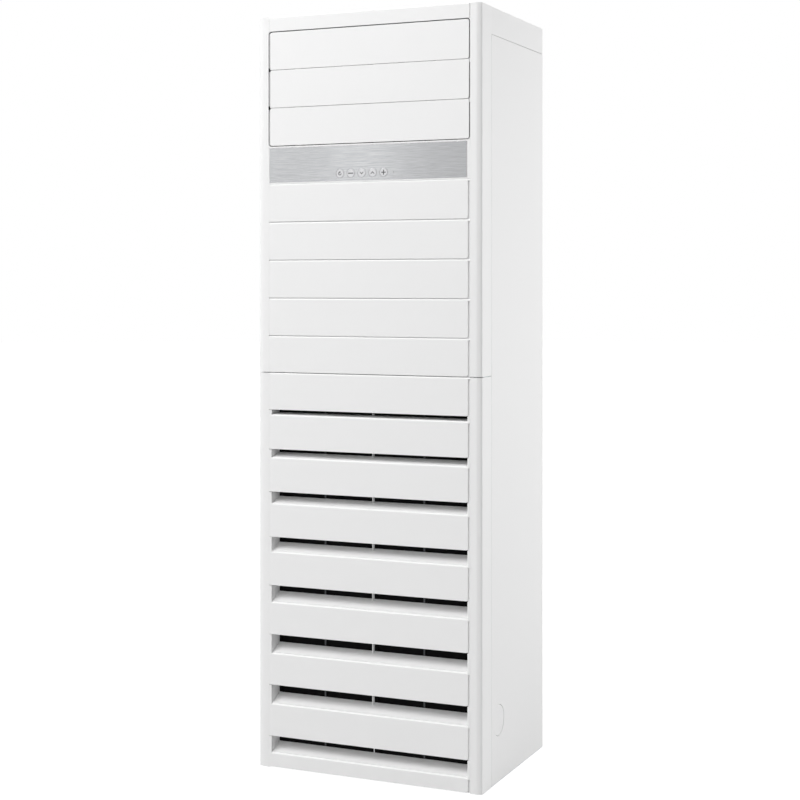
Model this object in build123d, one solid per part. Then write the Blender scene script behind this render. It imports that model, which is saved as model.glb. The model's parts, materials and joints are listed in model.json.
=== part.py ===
"""Floor standing air conditioner, cabinet type, as an assembly of separate pieces.

Millimetres, +Z up, front towards -Y, origin on the floor under the middle of the cabinet.
Air enters through the slotted grille low on the front, passes two filters into a centrifugal
blower, rises through a sloping cooling coil and leaves past upright louvres and three wide
vanes at the top of the front.  Each function below makes one piece or one group of like
pieces, and every place is worked out from the driving dimensions.
"""

from build123d import *

import os
from math import cos, radians, sin

# ---------------------------------------------------------------- driving dimensions: cabinet
WIDTH = 590.0
DEPTH = 440.0
CORNER_R = 11.0            # rounded outer edge of the front columns
SHEET = 1.2                # side and back panels
BASE_T = 1.5               # base pan, posts, partition plate
MOULDING = 2.5             # wall of the plastic front mouldings
COVER_T = 1.5              # top cover skirt and plate
SCREW_HEAD = 2.0           # height of the pan heads on the back

# heights of the zones of the front, stacked from the floor up
LOWER_FRONT_H = 974.5      # grille and lower columns
STRIPES_H = 465.5          # five raised stripes
BAND_H = 92.7              # brushed control band
OUTLET_H = 280.6           # three vanes
TOP_STRIP_H = 36.7

COLUMN_W = 28.8            # front width of a column
COLUMN_D = 67.7            # how far a column wraps round the side
UPPER_LIP = 4.5            # depth of the upper columns' inner edge
LOWER_LIP = 18.0           # depth of the lower columns' inner edge, which bears the grille pins
SEAM = 0.6                 # visible gap between neighbouring mouldings
OUTLET_GROOVE = 3.2        # wider groove all round the set of vanes
PANEL_SETBACK = 0.3        # side panels lie this far inside the columns
FLOOR_GAP = 2.0            # side panels and grille stop this far above the floor
SKIRT_H = 66.0             # side skirt of the top cover
POST_W = 22.0              # front posts, measured along the front
POST_LEG = 47.0            # front leg of a post, behind the column's side
TAB_BACK = 22.0            # clip tabs of the front mouldings, behind the front face
TAB_LAP = 9.0              # how far a tab starts inside the columns
TAB_T = 2.5
TAB_H = 18.0
BACK_FLANGE = 22.0         # side panels turn in by this much at the back
PAN_FLANGE = 20.0          # height of the base pan's rim

# ---------------------------------------------------------------- driving dimensions: openings
KNOCKOUT_R = 37.0
KNOCKOUT_BACK = 47.7       # behind the front edge of the side panel
KNOCKOUT_Z = 147.7
KNOCKOUT_GAP = 0.35
ANCHOR_R = 5.0             # floor anchor holes in the base pan
ANCHOR_X = 400.0           # spacing across
ANCHOR_Y = 260.0           # spacing front to back
TIE_R = 2.75               # wall tie holes in the back panel
TIE_SPACING = 300.0
TIE_DROP = 120.0           # below the top of the cabinet
CABLE_INSET = 93.5         # from the left side panel
CABLE_Z = 120.0
CABLE_HOLE_R = 12.0
SCREW_R = 1.9
SCREW_COUNT = 6            # per side of the back

# ---------------------------------------------------------------- driving dimensions: outlet
VANE_COUNT = 3
VANE_GAP = 1.6             # between neighbouring vanes
VANE_T = 13.0              # thickness at the pivot
VANE_EDGE = 2.4            # thickness at the long edges
VANE_AXIS = 8.0            # pivot line behind the front face
VANE_CORNER_R = 5.0
DUCT_T = 2.2               # side walls of the outlet duct
DUCT_FLOOR = 3.0
DUCT_FRONT = 4.0           # duct starts this far behind the front face
DUCT_BACK = 135.0          # and ends this far behind it
CRANK_R = 16.0             # pivot line to crank pin
CRANK_LEAD = 40.0          # crank points this many degrees above straight back when shut
PIVOT_R = 3.0
PIN_R = 1.9
FIT = 0.08                 # radial clearance of a pin in a hole
CLEAR = 0.3                # ordinary clearance between pieces that move past each other
LOUVRE_COUNT = 6
LOUVRE_PITCH = 84.0
LOUVRE_T = 2.0
LOUVRE_AXIS = 92.0         # pivot line behind the front face
LOUVRE_FORE = 28.0         # chord in front of the pivot
LOUVRE_AFT = 34.0
LOUVRE_CRANK = 27.0        # pivot to link pin
LOUVRE_PIVOT_R = 2.5
LOUVRE_PIN_R = 1.5
LOUVRE_DRIVEN = 2          # the one that stands on the motor, counted from 0 at the left

# ---------------------------------------------------------------- driving dimensions: keys
KEY_NAMES = ("key_power", "key_mode", "key_down", "key_up", "key_fan")
KEY_R = 9.0
KEY_PITCH = 29.0
KEY_FIRST_X = -72.0
KEY_UP = 20.0              # above the lower edge of the band
KEY_TRAVEL = 0.8
LED_X = 70.3
LED_R = 1.6
DISPLAY_BELOW = 15.0       # display board below and above the line of the keys
DISPLAY_ABOVE = 30.0
DISPLAY_SIDE = 21.0        # and beyond the first key

# ---------------------------------------------------------------- driving dimensions: grille
GRILLE_D = 42.0
SLOT_MARGIN = 5.6          # side edge of the grille to the end of a slot
SLOT_WALL = 2.0
TOP_SLAT = 90.3            # slat above the first slot
# from the top down: front height of each slot, rise of its ledge, and the slat below it
SLOTS = (
    (13.0, 3.2, 84.1),
    (21.1, 8.9, 83.9),
    (29.7, 13.0, 81.8),
    (37.4, 18.1, 81.9),
    (42.3, 20.1, 78.6),
    (47.2, 19.3, 77.5),
    (47.4, 19.6, 78.7),
    (41.8, 18.4, 35.2),
)
SLOT_RIB_W = 2.4           # upright rib behind the middle of the slots
SLOT_RIB_D = 7.0
GRILLE_PIN_R = 3.0
GRILLE_PIN_Z = 10.0
GRILLE_PIN_Y = 8.0         # behind the front face
GRILLE_EDGE_R = 4.0        # rounded lower front edge
FILTER_T = 6.6
FILTER_BAR = 10.0
FILTER_RIB = 4.0
FILTER_MESH = 0.8
FILTER_LOW = 40.0
FILTER_HEADROOM = 43.9     # from the top of the filters to the top of the grille
FILTER_RIBS = 6

# ---------------------------------------------------------------- driving dimensions: blower
WHEEL_X = -20.0
WHEEL_DROP = 497.0         # wheel's axis below the partition plate
WHEEL_R = 170.0
WHEEL_W = 128.0
BLADE_COUNT = 32
BLADE_DEPTH = 24.0
BLADE_T = 1.4
SCROLL_FRONT = 160.0       # front plate behind the front face of the cabinet
SCROLL_W = 170.0
SCROLL_T = 2.5
SCROLL_GAP = 26.0          # wheel to the start of the spiral
SCROLL_GROWTH = 18.0       # growth of the spiral's radius in each quarter turn
THROAT_X = 60.0            # inner side of the discharge from the wheel's axis
TONGUE_R = 12.0
INLET_R = 138.0
INLET_BELL = 25.0
SHAFT_R = 6.0
MOTOR_R = 66.0
MOTOR_GAP = 20.6           # motor to back panel
BRACKET_T = 3.0
BRACKET_REACH = 45.0       # arms beyond the motor
BRACKET_W = 34.0

# ---------------------------------------------------------------- driving dimensions: cooling
PARTITION_DROP = 17.5      # below the seam between the upper and lower front
COIL_SIDE = 58.5           # side panel to coil, room for its bends and the pipes
COIL_L = 560.0
COIL_T = 44.0
COIL_TILT = 22.0
COIL_FRONT = 108.0         # lower front edge of the coil behind the front face
COIL_LIFT = 26.5           # above the partition plate
TUBE_R = 4.76
TUBE_WALL = 0.8
COLLAR_L = 3.0             # brazed collar where a pipe meets the coil
TUBE_PITCH = 35.0
TUBE_ROWS = 16
ROW_PITCH = 22.0
SUCTION_R = 7.94
PIPE_INSET = 28.5          # pipes from the side panel
PIPE_END_Z = 200.0
PAN_OVERHANG = 15.0        # pan beyond each end of the coil
PAN_D = 70.0
PAN_H = 20.0
PAN_T = 2.0
SPOUT_L = 22.0
HOSE_R = 9.0
HOSE_BORE = 7.0
# bends of the drain hose: sideways and back from its top, and below the partition plate
HOSE_WAY = ((0.0, 0.0, 257.0), (6.0, 3.0, 497.0), (4.0, 0.0, 697.0), (14.0, 8.0, 837.0))
HOSE_BEND_R = 90.0

# ---------------------------------------------------------------- driving dimensions: control box
BOX_W = 480.0
BOX_D = 73.0
BOX_H = 240.0
BOX_LIFT = 52.0            # above the partition plate
BOX_T = 1.2
BOARD_LEFT = 50.0          # board from the left wall of the box
BOARD_W = 250.0
BOARD_EDGE = 30.0          # board above and below to the box
BOARD_T = 1.6
BOARD_LIFT = 8.0           # board in front of the box's rear wall
BOARD_FOOT = 10.0          # spacers from the board's edges
# boxed parts on the board: left and up from its lower left corner, width, height, depth
BOARD_PARTS = (
    (20.0, 30.0, 60.0, 55.0, 34.0),
    (100.0, 40.0, 30.0, 20.0, 18.0),
    (140.0, 40.0, 30.0, 20.0, 18.0),
    (100.0, 140.0, 120.0, 20.0, 12.0),
)
CAPACITOR = (210.0, 60.0, 16.0, 40.0)    # left, up, radius, depth

# ---------------------------------------------------------------- worked out
HEIGHT = LOWER_FRONT_H + STRIPES_H + BAND_H + OUTLET_H + TOP_STRIP_H
SEAM_Z = LOWER_FRONT_H
PARTITION_Z = LOWER_FRONT_H - PARTITION_DROP
BAND_Z = SEAM_Z + STRIPES_H
OUTLET_Z = BAND_Z + BAND_H
STRIP_Z = OUTLET_Z + OUTLET_H
HALF_W = WIDTH / 2
FRONT = -DEPTH / 2
BACK = DEPTH / 2 - SCREW_HEAD            # outer face of the back flanges
OPENING = HALF_W - COLUMN_W              # half width between the columns
PANEL_X = HALF_W - PANEL_SETBACK - SHEET   # inner face of a side panel
PANEL_FRONT = FRONT + COLUMN_D + SEAM
POST_FRONT = FRONT + COLUMN_D
POST_BACK = POST_FRONT + POST_W
COVER_Z = HEIGHT - SKIRT_H
BACK_PANEL_Y = BACK - 2 * SHEET          # inner face of the back panel
KNOCKOUT_Y = PANEL_FRONT + KNOCKOUT_BACK
CABLE_X = CABLE_INSET - PANEL_X
WHEEL_Z = PARTITION_Z - WHEEL_DROP
COIL_W = 2 * (PANEL_X - COIL_SIDE)
PAN_W = COIL_W + 2 * PAN_OVERHANG
PIPE_X = PANEL_X - PIPE_INSET
GRILLE_TOP = SEAM_Z - SEAM
FILTER_TOP = GRILLE_TOP - FILTER_HEADROOM


def block(x, y, z):
    """Return a box from three (low, high) pairs."""
    size = [high - low for low, high in (x, y, z)]
    middle = [(high + low) / 2 for low, high in (x, y, z)]
    return Pos(*middle) * Box(*size)


def x_rod(x, y, z, radius):
    """Return a round bar along X between the two ends in x."""
    return Pos((x[0] + x[1]) / 2, y, z) * Rot(0, 90, 0) * Cylinder(radius, x[1] - x[0])


def y_rod(x, y, z, radius):
    """Return a round bar along Y between the two ends in y."""
    return Pos(x, (y[0] + y[1]) / 2, z) * Rot(90, 0, 0) * Cylinder(radius, y[1] - y[0])


def z_rod(x, y, z, radius):
    """Return a round bar along Z between the two ends in z."""
    return Pos(x, y, (z[0] + z[1]) / 2) * Cylinder(radius, z[1] - z[0])


def x_prism(points, x):
    """Return the prism of a closed (y, z) outline between the two ends in x."""
    outline = Polyline(*[(x[0], y, z) for y, z in points], close=True)
    return extrude(make_face(outline), amount=x[1] - x[0], dir=(1, 0, 0))


def pair(piece):
    """Return a piece and its mirror image across the middle plane."""
    return piece + mirror(piece, about=Plane.YZ)


def evenly(low, high, count):
    """Return count values from low to high."""
    return [low + (high - low) * i / (count - 1) for i in range(count)]


# ------------------------------------------------------------------------------- cabinet
def base_pan():
    """Sheet tray on the floor, with floor anchor holes."""
    x = (-PANEL_X, PANEL_X)
    y = (PANEL_FRONT, BACK_PANEL_Y)
    pan = block(x, y, (0, BASE_T + PAN_FLANGE))
    inner_x = (x[0] + BASE_T, x[1] - BASE_T)
    inner_y = (y[0] + BASE_T, y[1] - BASE_T)
    pan -= block(inner_x, inner_y, (BASE_T, BASE_T + PAN_FLANGE + 1))
    for i in (-1, 1):
        for j in (-1, 1):
            hole = z_rod(i * ANCHOR_X / 2, j * ANCHOR_Y / 2, (-1, BASE_T + 1), ANCHOR_R)
            pan -= hole
    return pan


def screw_places():
    """Return the (x, z) of the screws in the back flanges."""
    x = PANEL_X - BACK_FLANGE / 2
    heights = evenly(80, COVER_Z - 60, SCREW_COUNT)
    return [(side * x, z) for side in (-1, 1) for z in heights]


def screw_holes():
    """Return the bars that cut the screw holes."""
    return [y_rod(x, (BACK_PANEL_Y - 1, BACK + 1), z, SCREW_R) for x, z in screw_places()]


def right_side_panel():
    """Painted sheet side, turned in at the back, with a round knock-out."""
    z = (FLOOR_GAP, COVER_Z - 0.4)
    panel = block((PANEL_X, PANEL_X + SHEET), (PANEL_FRONT, BACK), z)
    panel += block((PANEL_X - BACK_FLANGE, PANEL_X), (BACK - SHEET, BACK), z)
    panel -= x_rod((PANEL_X - 1, PANEL_X + SHEET + 1), KNOCKOUT_Y, KNOCKOUT_Z, KNOCKOUT_R)
    return panel - screw_holes()


def knockout_discs():
    """The two round discs that are knocked out to bring the pipes through a side."""
    radius = KNOCKOUT_R - KNOCKOUT_GAP
    return pair(x_rod((PANEL_X, PANEL_X + SHEET), KNOCKOUT_Y, KNOCKOUT_Z, radius))


def back_panel():
    """Flat sheet inside the back flanges, with wall tie holes and a cable hole."""
    x = (CLEAR - PANEL_X, PANEL_X - CLEAR)
    panel = block(x, (BACK_PANEL_Y, BACK_PANEL_Y + SHEET), (BASE_T, HEIGHT - COVER_T))
    cut = (BACK_PANEL_Y - 1, BACK + 1)
    for side in (-1, 1):
        panel -= y_rod(side * TIE_SPACING / 2, cut, HEIGHT - TIE_DROP, TIE_R)
    panel -= y_rod(CABLE_X, cut, CABLE_Z, CABLE_HOLE_R)
    return panel - screw_holes()


def top_cover():
    """Cap over the top of the cabinet, with a skirt on three sides."""
    x = (-HALF_W, HALF_W)
    back = BACK_PANEL_Y + SHEET + COVER_T
    front = FRONT + COLUMN_D + CLEAR
    cover = block(x, (front, back), (COVER_Z, HEIGHT))
    inner = (COVER_T - HALF_W, HALF_W - COVER_T)
    return cover - block(inner, (front - 1, back - COVER_T), (COVER_Z - 1, HEIGHT - COVER_T))


def cabinet_screws():
    """Pan head screws that hold the back panel to the side flanges."""
    screws = Part()
    for x, z in screw_places():
        shank = y_rod(x, (BACK_PANEL_Y - 6, BACK), z, SCREW_R)
        screws += shank + y_rod(x, (BACK, BACK + SCREW_HEAD), z, 2 * SCREW_R)
    return screws


def front_posts():
    """Folded uprights behind the columns, which carry the whole front."""
    top = HEIGHT - COVER_T
    leg_x = HALF_W - MOULDING
    web_x = (PANEL_X - POST_W - BASE_T, PANEL_X)
    post = block((PANEL_X - BASE_T, PANEL_X), (POST_FRONT, POST_BACK), (BASE_T, top))
    post += block(web_x, (POST_BACK - BASE_T, POST_BACK), (BASE_T, top))
    leg_y = (POST_FRONT - POST_LEG, POST_FRONT + 2)
    post += block((leg_x - BASE_T, leg_x), leg_y, (BASE_T, HEIGHT - MOULDING))
    bridge_y = (POST_FRONT, POST_FRONT + BASE_T)
    post += block((leg_x - BASE_T, PANEL_X), bridge_y, (BASE_T, HEIGHT - MOULDING))
    rim = block((leg_x - 9, PANEL_X + 1), (PANEL_FRONT, POST_BACK + 1), (0, BASE_T + PAN_FLANGE))
    post -= rim
    return pair(post)


def partition_plate():
    """Shelf between the blower below and the coil above, open over the blower."""
    z = (PARTITION_Z, PARTITION_Z + BASE_T)
    plate = block((-PANEL_X, PANEL_X), (POST_BACK, BACK_PANEL_Y), z)
    low, high = throat_x()
    deep = (scroll_y()[0] + SCROLL_T, scroll_y()[1] - SCROLL_T)
    cut = (PARTITION_Z - 1, PARTITION_Z + BASE_T + 1)
    plate -= block((low, high), deep, cut)
    liquid, suction = pipe_starts()
    plate -= z_rod(PIPE_X, liquid.Y, cut, TUBE_R + 2)
    plate -= z_rod(PIPE_X, suction.Y, cut, SUCTION_R + 2)
    x, y = drain_place()
    return plate - z_rod(x, y, cut, HOSE_BORE)


def cable_bush():
    """Rubber bush in the back panel for the supply cable."""
    face = BACK_PANEL_Y
    bush = y_rod(CABLE_X, (face, face + SHEET), CABLE_Z, CABLE_HOLE_R)
    bush += y_rod(CABLE_X, (face - 2.5, face), CABLE_Z, CABLE_HOLE_R + 4)
    bush += y_rod(CABLE_X, (face + SHEET, face + SHEET + 2.5), CABLE_Z, CABLE_HOLE_R + 4)
    return bush - y_rod(CABLE_X, (face - 5, face + 10), CABLE_Z, CABLE_HOLE_R - 4)


# ------------------------------------------------------------------------------- front mouldings
def right_column(low, high, lip, capped):
    """Moulded column: front face, rounded edge, side that wraps back and an inner lip."""
    x = (OPENING, HALF_W)
    y = (FRONT, FRONT + COLUMN_D)
    column = block(x, y, (low, high))
    edge = column.edges().filter_by(Axis.Z).sort_by_distance((HALF_W, FRONT, low))[0]
    column = fillet(edge, CORNER_R)
    roof = high - MOULDING if capped else high + 1
    hollow = block((x[0] + MOULDING, x[1] - MOULDING), (FRONT + MOULDING, y[1] + 1), (low - 1, roof))
    edge = hollow.edges().filter_by(Axis.Z).sort_by_distance((HALF_W, FRONT, low))[0]
    column -= fillet(edge, CORNER_R - MOULDING)
    behind_lip = (FRONT + lip, y[1] + 1)
    return column - block((x[0] - 1, x[0] + MOULDING), behind_lip, (low - 1, roof))


def upper_right_column():
    """Upper column, closed at the top."""
    return right_column(SEAM_Z + SEAM / 2, HEIGHT, UPPER_LIP, True)


def lower_right_column():
    """Lower column, whose inner lip bears the grille's pin."""
    column = right_column(0.5, SEAM_Z - SEAM / 2, LOWER_LIP, False)
    hole_x = (OPENING - 1, OPENING + MOULDING + 1)
    return column - x_rod(hole_x, FRONT + GRILLE_PIN_Y, GRILLE_PIN_Z, GRILLE_PIN_R + FIT)


def side_tabs(heights, depth):
    """Clip tabs that tie a front moulding to the legs of the posts."""
    tabs = Part()
    start = OPENING - TAB_LAP
    leg = HALF_W - MOULDING - BASE_T
    back = FRONT + TAB_BACK
    for height in heights:
        z = (height - TAB_H / 2, height + TAB_H / 2)
        tabs += block((start, leg), (back, back + TAB_T), z)
        tabs += block((start, start + TAB_T), (FRONT + depth, back + TAB_T), z)
    return pair(tabs)


def top_strip():
    """Plain strip above the vanes, with the front edge of the top."""
    x = (SEAM - OPENING, OPENING - SEAM)
    low = STRIP_Z + OUTLET_GROOVE / 2
    strip = block(x, (FRONT, FRONT + MOULDING), (low, HEIGHT))
    strip += block(x, (FRONT, FRONT + COLUMN_D), (HEIGHT - MOULDING, HEIGHT))
    return strip + side_tabs([HEIGHT - MOULDING - 12], MOULDING)


def stripe_panel():
    """Panel with five raised stripes."""
    half = OPENING - SEAM
    low = SEAM_Z + SEAM / 2
    high = BAND_Z - SEAM / 2
    back = FRONT + 4
    panel = block((-half, half), (back, back + MOULDING), (low, high))
    pitch = (high - low) / 5
    for i in range(5):
        bottom = low + i * pitch
        stripe = block((-half, half), (FRONT, back), (bottom + 0.8, bottom + pitch - 0.8))
        ends = stripe.edges().filter_by(Axis.Y)
        stripe = fillet(ends, 5)
        panel += stripe
    heights = evenly(low + 30, high - 30, 4)
    return panel + side_tabs(heights, 5)


def key_x(index):
    """Return the place of a key along the band."""
    return KEY_FIRST_X + KEY_PITCH * index


def control_band():
    """Brushed band with five round key holes, a lamp hole and bosses for the board."""
    half = OPENING - 2 * SEAM
    face = FRONT + 0.4
    rear = face + MOULDING
    band = block((-half, half), (face, rear), (BAND_Z + SEAM / 2, OUTLET_Z - OUTLET_GROOVE / 2))
    z = BAND_Z + KEY_UP
    for index in range(len(KEY_NAMES)):
        band -= y_rod(key_x(index), (face - 1, rear + 1), z, KEY_R + CLEAR)
    band -= y_rod(LED_X, (face - 1, rear + 1), z, LED_R)
    for x in board_bosses():
        for height in (z - DISPLAY_BELOW + 4, z + DISPLAY_ABOVE - 5):
            band += y_rod(x, (rear, board_y()[0]), height, 3)
    return band + side_tabs([BAND_Z + BAND_H / 2], MOULDING)


def board_bosses():
    """Return the places of the board's bosses along the band."""
    return (key_x(0) - DISPLAY_SIDE + 5, LED_X + 12)


def board_y():
    """Return the front and rear of the display board."""
    front = FRONT + 0.4 + MOULDING + 4.0
    return (front, front + 1.6)


def key(index):
    """Round key cap with a retaining flange behind the band."""
    z = BAND_Z + KEY_UP
    rear = FRONT + 0.4 + MOULDING
    cap = y_rod(key_x(index), (FRONT + 0.1, rear + 1.4), z, KEY_R)
    return cap + y_rod(key_x(index), (rear + 0.1, rear + 1.4), z, KEY_R + 1.5)


def status_led():
    """Small lamp lens between the band and the board."""
    return y_rod(LED_X, (FRONT + 0.4, board_y()[0]), BAND_Z + KEY_UP, LED_R)


def display_board():
    """Circuit board behind the keys, with one small switch for each key."""
    front, rear = board_y()
    z = BAND_Z + KEY_UP
    x = (board_bosses()[0] - 5, board_bosses()[1] + 5)
    board = block(x, (front, rear), (z - DISPLAY_BELOW, z + DISPLAY_ABOVE))
    reach = FRONT + 0.4 + MOULDING + 1.4 + KEY_TRAVEL + CLEAR
    for index in range(len(KEY_NAMES)):
        board += y_rod(key_x(index), (reach, front), z, 3)
    return board


# ------------------------------------------------------------------------------- outlet
def duct_z():
    """Return the floor and roof of the outlet duct."""
    return (OUTLET_Z - OUTLET_GROOVE / 2, STRIP_Z + OUTLET_GROOVE / 2)


def vane_heights():
    """Return the pivot height of each vane, top first."""
    pitch = OUTLET_H / VANE_COUNT
    return [STRIP_Z - pitch * (i + 0.5) for i in range(VANE_COUNT)]


def louvre_places():
    """Return the places of the louvres along the front."""
    reach = LOUVRE_PITCH * (LOUVRE_COUNT - 1) / 2
    return evenly(-reach, reach, LOUVRE_COUNT)


def outlet_duct():
    """Four-walled duct that bears the vanes at its sides and the louvres top and bottom."""
    low, high = duct_z()
    inner = OPENING - DUCT_T
    y = (FRONT + DUCT_FRONT, FRONT + DUCT_BACK)
    duct = block((-OPENING, OPENING), y, (low - DUCT_FLOOR, high + DUCT_FLOOR))
    duct -= block((-inner, inner), (y[0] - 1, y[1] + 1), (low, high))
    for z in vane_heights():
        ends = (-OPENING - 1, OPENING + 1)
        duct -= x_rod(ends, FRONT + VANE_AXIS, z, PIVOT_R + FIT)
    span = (low - DUCT_FLOOR - 1, high + DUCT_FLOOR + 1)
    for x in louvre_places():
        duct -= z_rod(x, FRONT + LOUVRE_AXIS, span, LOUVRE_PIVOT_R + FIT)
    web = POST_BACK - BASE_T
    ear = block((OPENING, PANEL_X - 4), (web - DUCT_T, web), (low, high))
    return duct + pair(ear)


def vane(index):
    """Wide vane, flat in front and bellied behind, with its left pivot and a right socket."""
    z = vane_heights()[index]
    half = (OUTLET_H / VANE_COUNT - VANE_GAP) / 2
    end = OPENING - DUCT_T - 0.8
    rear_edge = FRONT + VANE_EDGE
    front_low = (-end, FRONT, z - half)
    front_high = (-end, FRONT, z + half)
    rear_high = (-end, rear_edge, z + half)
    belly = (-end, FRONT + VANE_T, z)
    rear_low = (-end, rear_edge, z - half)
    sides = Polyline(rear_low, front_low, front_high, rear_high)
    outline = sides + ThreePointArc(rear_high, belly, rear_low)
    blade = extrude(make_face(outline), amount=2 * end, dir=(1, 0, 0))
    blade = fillet(blade.edges().filter_by(Axis.Y), VANE_CORNER_R)
    axis_y = FRONT + VANE_AXIS
    reach = 8.0 if index == VANE_COUNT // 2 else 1.5
    blade += x_rod((-OPENING - reach, 1 - end), axis_y, z, PIVOT_R)
    return blade - x_rod((end - 12, end + 1), axis_y, z, PIVOT_R)


def crank_pin(index):
    """Return the (y, z) of a vane's crank pin."""
    lead = radians(CRANK_LEAD)
    y = FRONT + VANE_AXIS + CRANK_R * cos(lead)
    return (y, vane_heights()[index] + CRANK_R * sin(lead))


def crank_x():
    """Return the two faces of the crank arms, outside the duct's right wall."""
    low = OPENING + MOULDING + CLEAR
    return (low, low + 3)


def vane_crank(index):
    """Crank pressed into the right end of a vane through the duct wall."""
    low, high = crank_x()
    axis = (FRONT + VANE_AXIS, vane_heights()[index])
    pin = crank_pin(index)
    crank = x_rod((OPENING - DUCT_T - 0.8 - 12, high), axis[0], axis[1], PIVOT_R)
    crank += x_rod((low, high), axis[0], axis[1], PIVOT_R + 2)
    crank += x_rod((low, high), pin[0], pin[1], PIN_R + 2)
    middle = ((axis[0] + pin[0]) / 2, (axis[1] + pin[1]) / 2)
    arm = Box(high - low, CRANK_R, 2 * PIN_R + 2)
    crank += Pos((low + high) / 2, *middle) * Rot(CRANK_LEAD, 0, 0) * arm
    return crank + x_rod((high, high + 4.5), pin[0], pin[1], PIN_R)


def vane_link():
    """Flat bar that ties the three cranks together."""
    low = crank_x()[1] + CLEAR
    top = crank_pin(0)
    bottom = crank_pin(VANE_COUNT - 1)
    bar = block((low, low + 3), (top[0] - 4, top[0] + 4), (bottom[1] - 5, top[1] + 5))
    for index in range(VANE_COUNT):
        y, z = crank_pin(index)
        bar -= x_rod((low - 1, low + 4), y, z, PIN_R + FIT)
    return bar


def vane_motor():
    """Small geared motor on the duct's left wall, which turns the middle vane."""
    z = vane_heights()[VANE_COUNT // 2]
    y = FRONT + VANE_AXIS
    motor = x_rod((-OPENING - 19, -OPENING), y + 8, z, 11)
    motor += block((-OPENING - 1.2, -OPENING), (y + 5, y + 11), (z - 21, z + 21))
    return motor - x_rod((-OPENING - 9, 1 - OPENING), y, z, PIVOT_R + FIT)


def louvre(index):
    """Upright louvre with pivots top and bottom and a notch for the link."""
    x = louvre_places()[index]
    low, high = duct_z()
    axis = FRONT + LOUVRE_AXIS
    chord = (axis - LOUVRE_FORE, axis + LOUVRE_AFT)
    blade = block((x - LOUVRE_T / 2, x + LOUVRE_T / 2), chord, (low + 1.5, high - 1.5))
    notch_y = (axis + LOUVRE_CRANK - 8, chord[1] + 1)
    blade -= block((x - 5, x + 5), notch_y, (low + 14, low + 22))
    blade += z_rod(x, axis + LOUVRE_CRANK, (low + 13, low + 23), LOUVRE_PIN_R)
    foot = low - DUCT_FLOOR - (9 if index == LOUVRE_DRIVEN else 0.5)
    blade += z_rod(x, axis, (foot, low + 6), LOUVRE_PIVOT_R)
    return blade + z_rod(x, axis, (high - 6, high + DUCT_FLOOR + 0.5), LOUVRE_PIVOT_R)


def louvre_link():
    """Flat bar through the louvres' notches, which turns them together."""
    low = duct_z()[0]
    places = louvre_places()
    y = FRONT + LOUVRE_AXIS + LOUVRE_CRANK
    span = (low + 16.5, low + 19.5)
    bar = block((places[0] - 5, places[-1] + 5), (y - 3.5, y + 3.5), span)
    for x in places:
        bar -= z_rod(x, y, (span[0] - 1, span[1] + 1), LOUVRE_PIN_R + FIT)
    return bar


def louvre_motor():
    """Small geared motor under the duct, which turns one louvre."""
    x = louvre_places()[LOUVRE_DRIVEN]
    y = FRONT + LOUVRE_AXIS
    top = duct_z()[0] - DUCT_FLOOR
    motor = z_rod(x, y + 8, (top - 20, top), 14)
    motor += block((x - 21, x + 21), (y + 5, y + 11), (top - 1.2, top))
    return motor - z_rod(x, y, (top - 10, top + 1), LOUVRE_PIVOT_R + FIT)


# ------------------------------------------------------------------------------- blower
def scroll_y():
    """Return the outer faces of the blower housing."""
    return (FRONT + SCROLL_FRONT, FRONT + SCROLL_FRONT + SCROLL_W)


def spiral_radii():
    """Return the spiral's radius in each of its three quarter turns."""
    start = WHEEL_R + SCROLL_GAP
    return [start + SCROLL_GROWTH * i for i in range(3)]


def throat_x():
    """Return the inner faces of the discharge, left and right."""
    right = WHEEL_X + SCROLL_GROWTH + spiral_radii()[2]
    return (WHEEL_X + THROAT_X, right)


def scroll_face(grow, top):
    """Return the spiral outline, widened by grow and open at the top."""
    first, second, third = spiral_radii()
    growth = SCROLL_GROWTH
    c1 = (WHEEL_X, WHEEL_Z)
    c2 = (WHEEL_X + growth, WHEEL_Z)
    c3 = (WHEEL_X + growth, WHEEL_Z + growth)
    left, right = throat_x()
    half = sin(radians(45))

    def spot(centre, radius, across, up):
        reach = radius + grow
        return (centre[0] + reach * across, 0, centre[1] + reach * up)

    start = spot(c1, first, 0, 1)
    leftmost = spot(c1, first, -1, 0)
    lowest = spot(c2, second, 0, -1)
    rightmost = spot(c3, third, 1, 0)
    turns = ThreePointArc(start, spot(c1, first, -half, half), leftmost)
    turns += ThreePointArc(leftmost, spot(c2, second, -half, -half), lowest)
    turns += ThreePointArc(lowest, spot(c3, third, half, -half), rightmost)
    bend = TONGUE_R - grow
    tongue_z = start[2]
    corner = (left - grow, 0, tongue_z)
    before = (corner[0] - bend, 0, tongue_z)
    after = (corner[0], 0, tongue_z + bend)
    inside = (corner[0] - bend * (1 - half), 0, tongue_z + bend * (1 - half))
    walls = Line(rightmost, (right + grow, 0, top))
    walls += Line((right + grow, 0, top), (corner[0], 0, top))
    walls += Line((corner[0], 0, top), after)
    walls += ThreePointArc(after, inside, before)
    walls += Line(before, start)
    return make_face(turns + walls)


def scroll_shell(low, high):
    """Return the spiral wall between two depths."""
    outer = extrude(scroll_face(SCROLL_T, PARTITION_Z), amount=high - low, dir=(0, 1, 0))
    inner = extrude(scroll_face(0, PARTITION_Z + 5), amount=high - low, dir=(0, 1, 0))
    return Pos(0, low, 0) * (outer - inner)


def scroll_plate(low, high):
    """Return an end plate of the spiral between two depths."""
    plate = extrude(scroll_face(SCROLL_T, PARTITION_Z), amount=high - low, dir=(0, 1, 0))
    return Pos(0, low, 0) * plate


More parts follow.
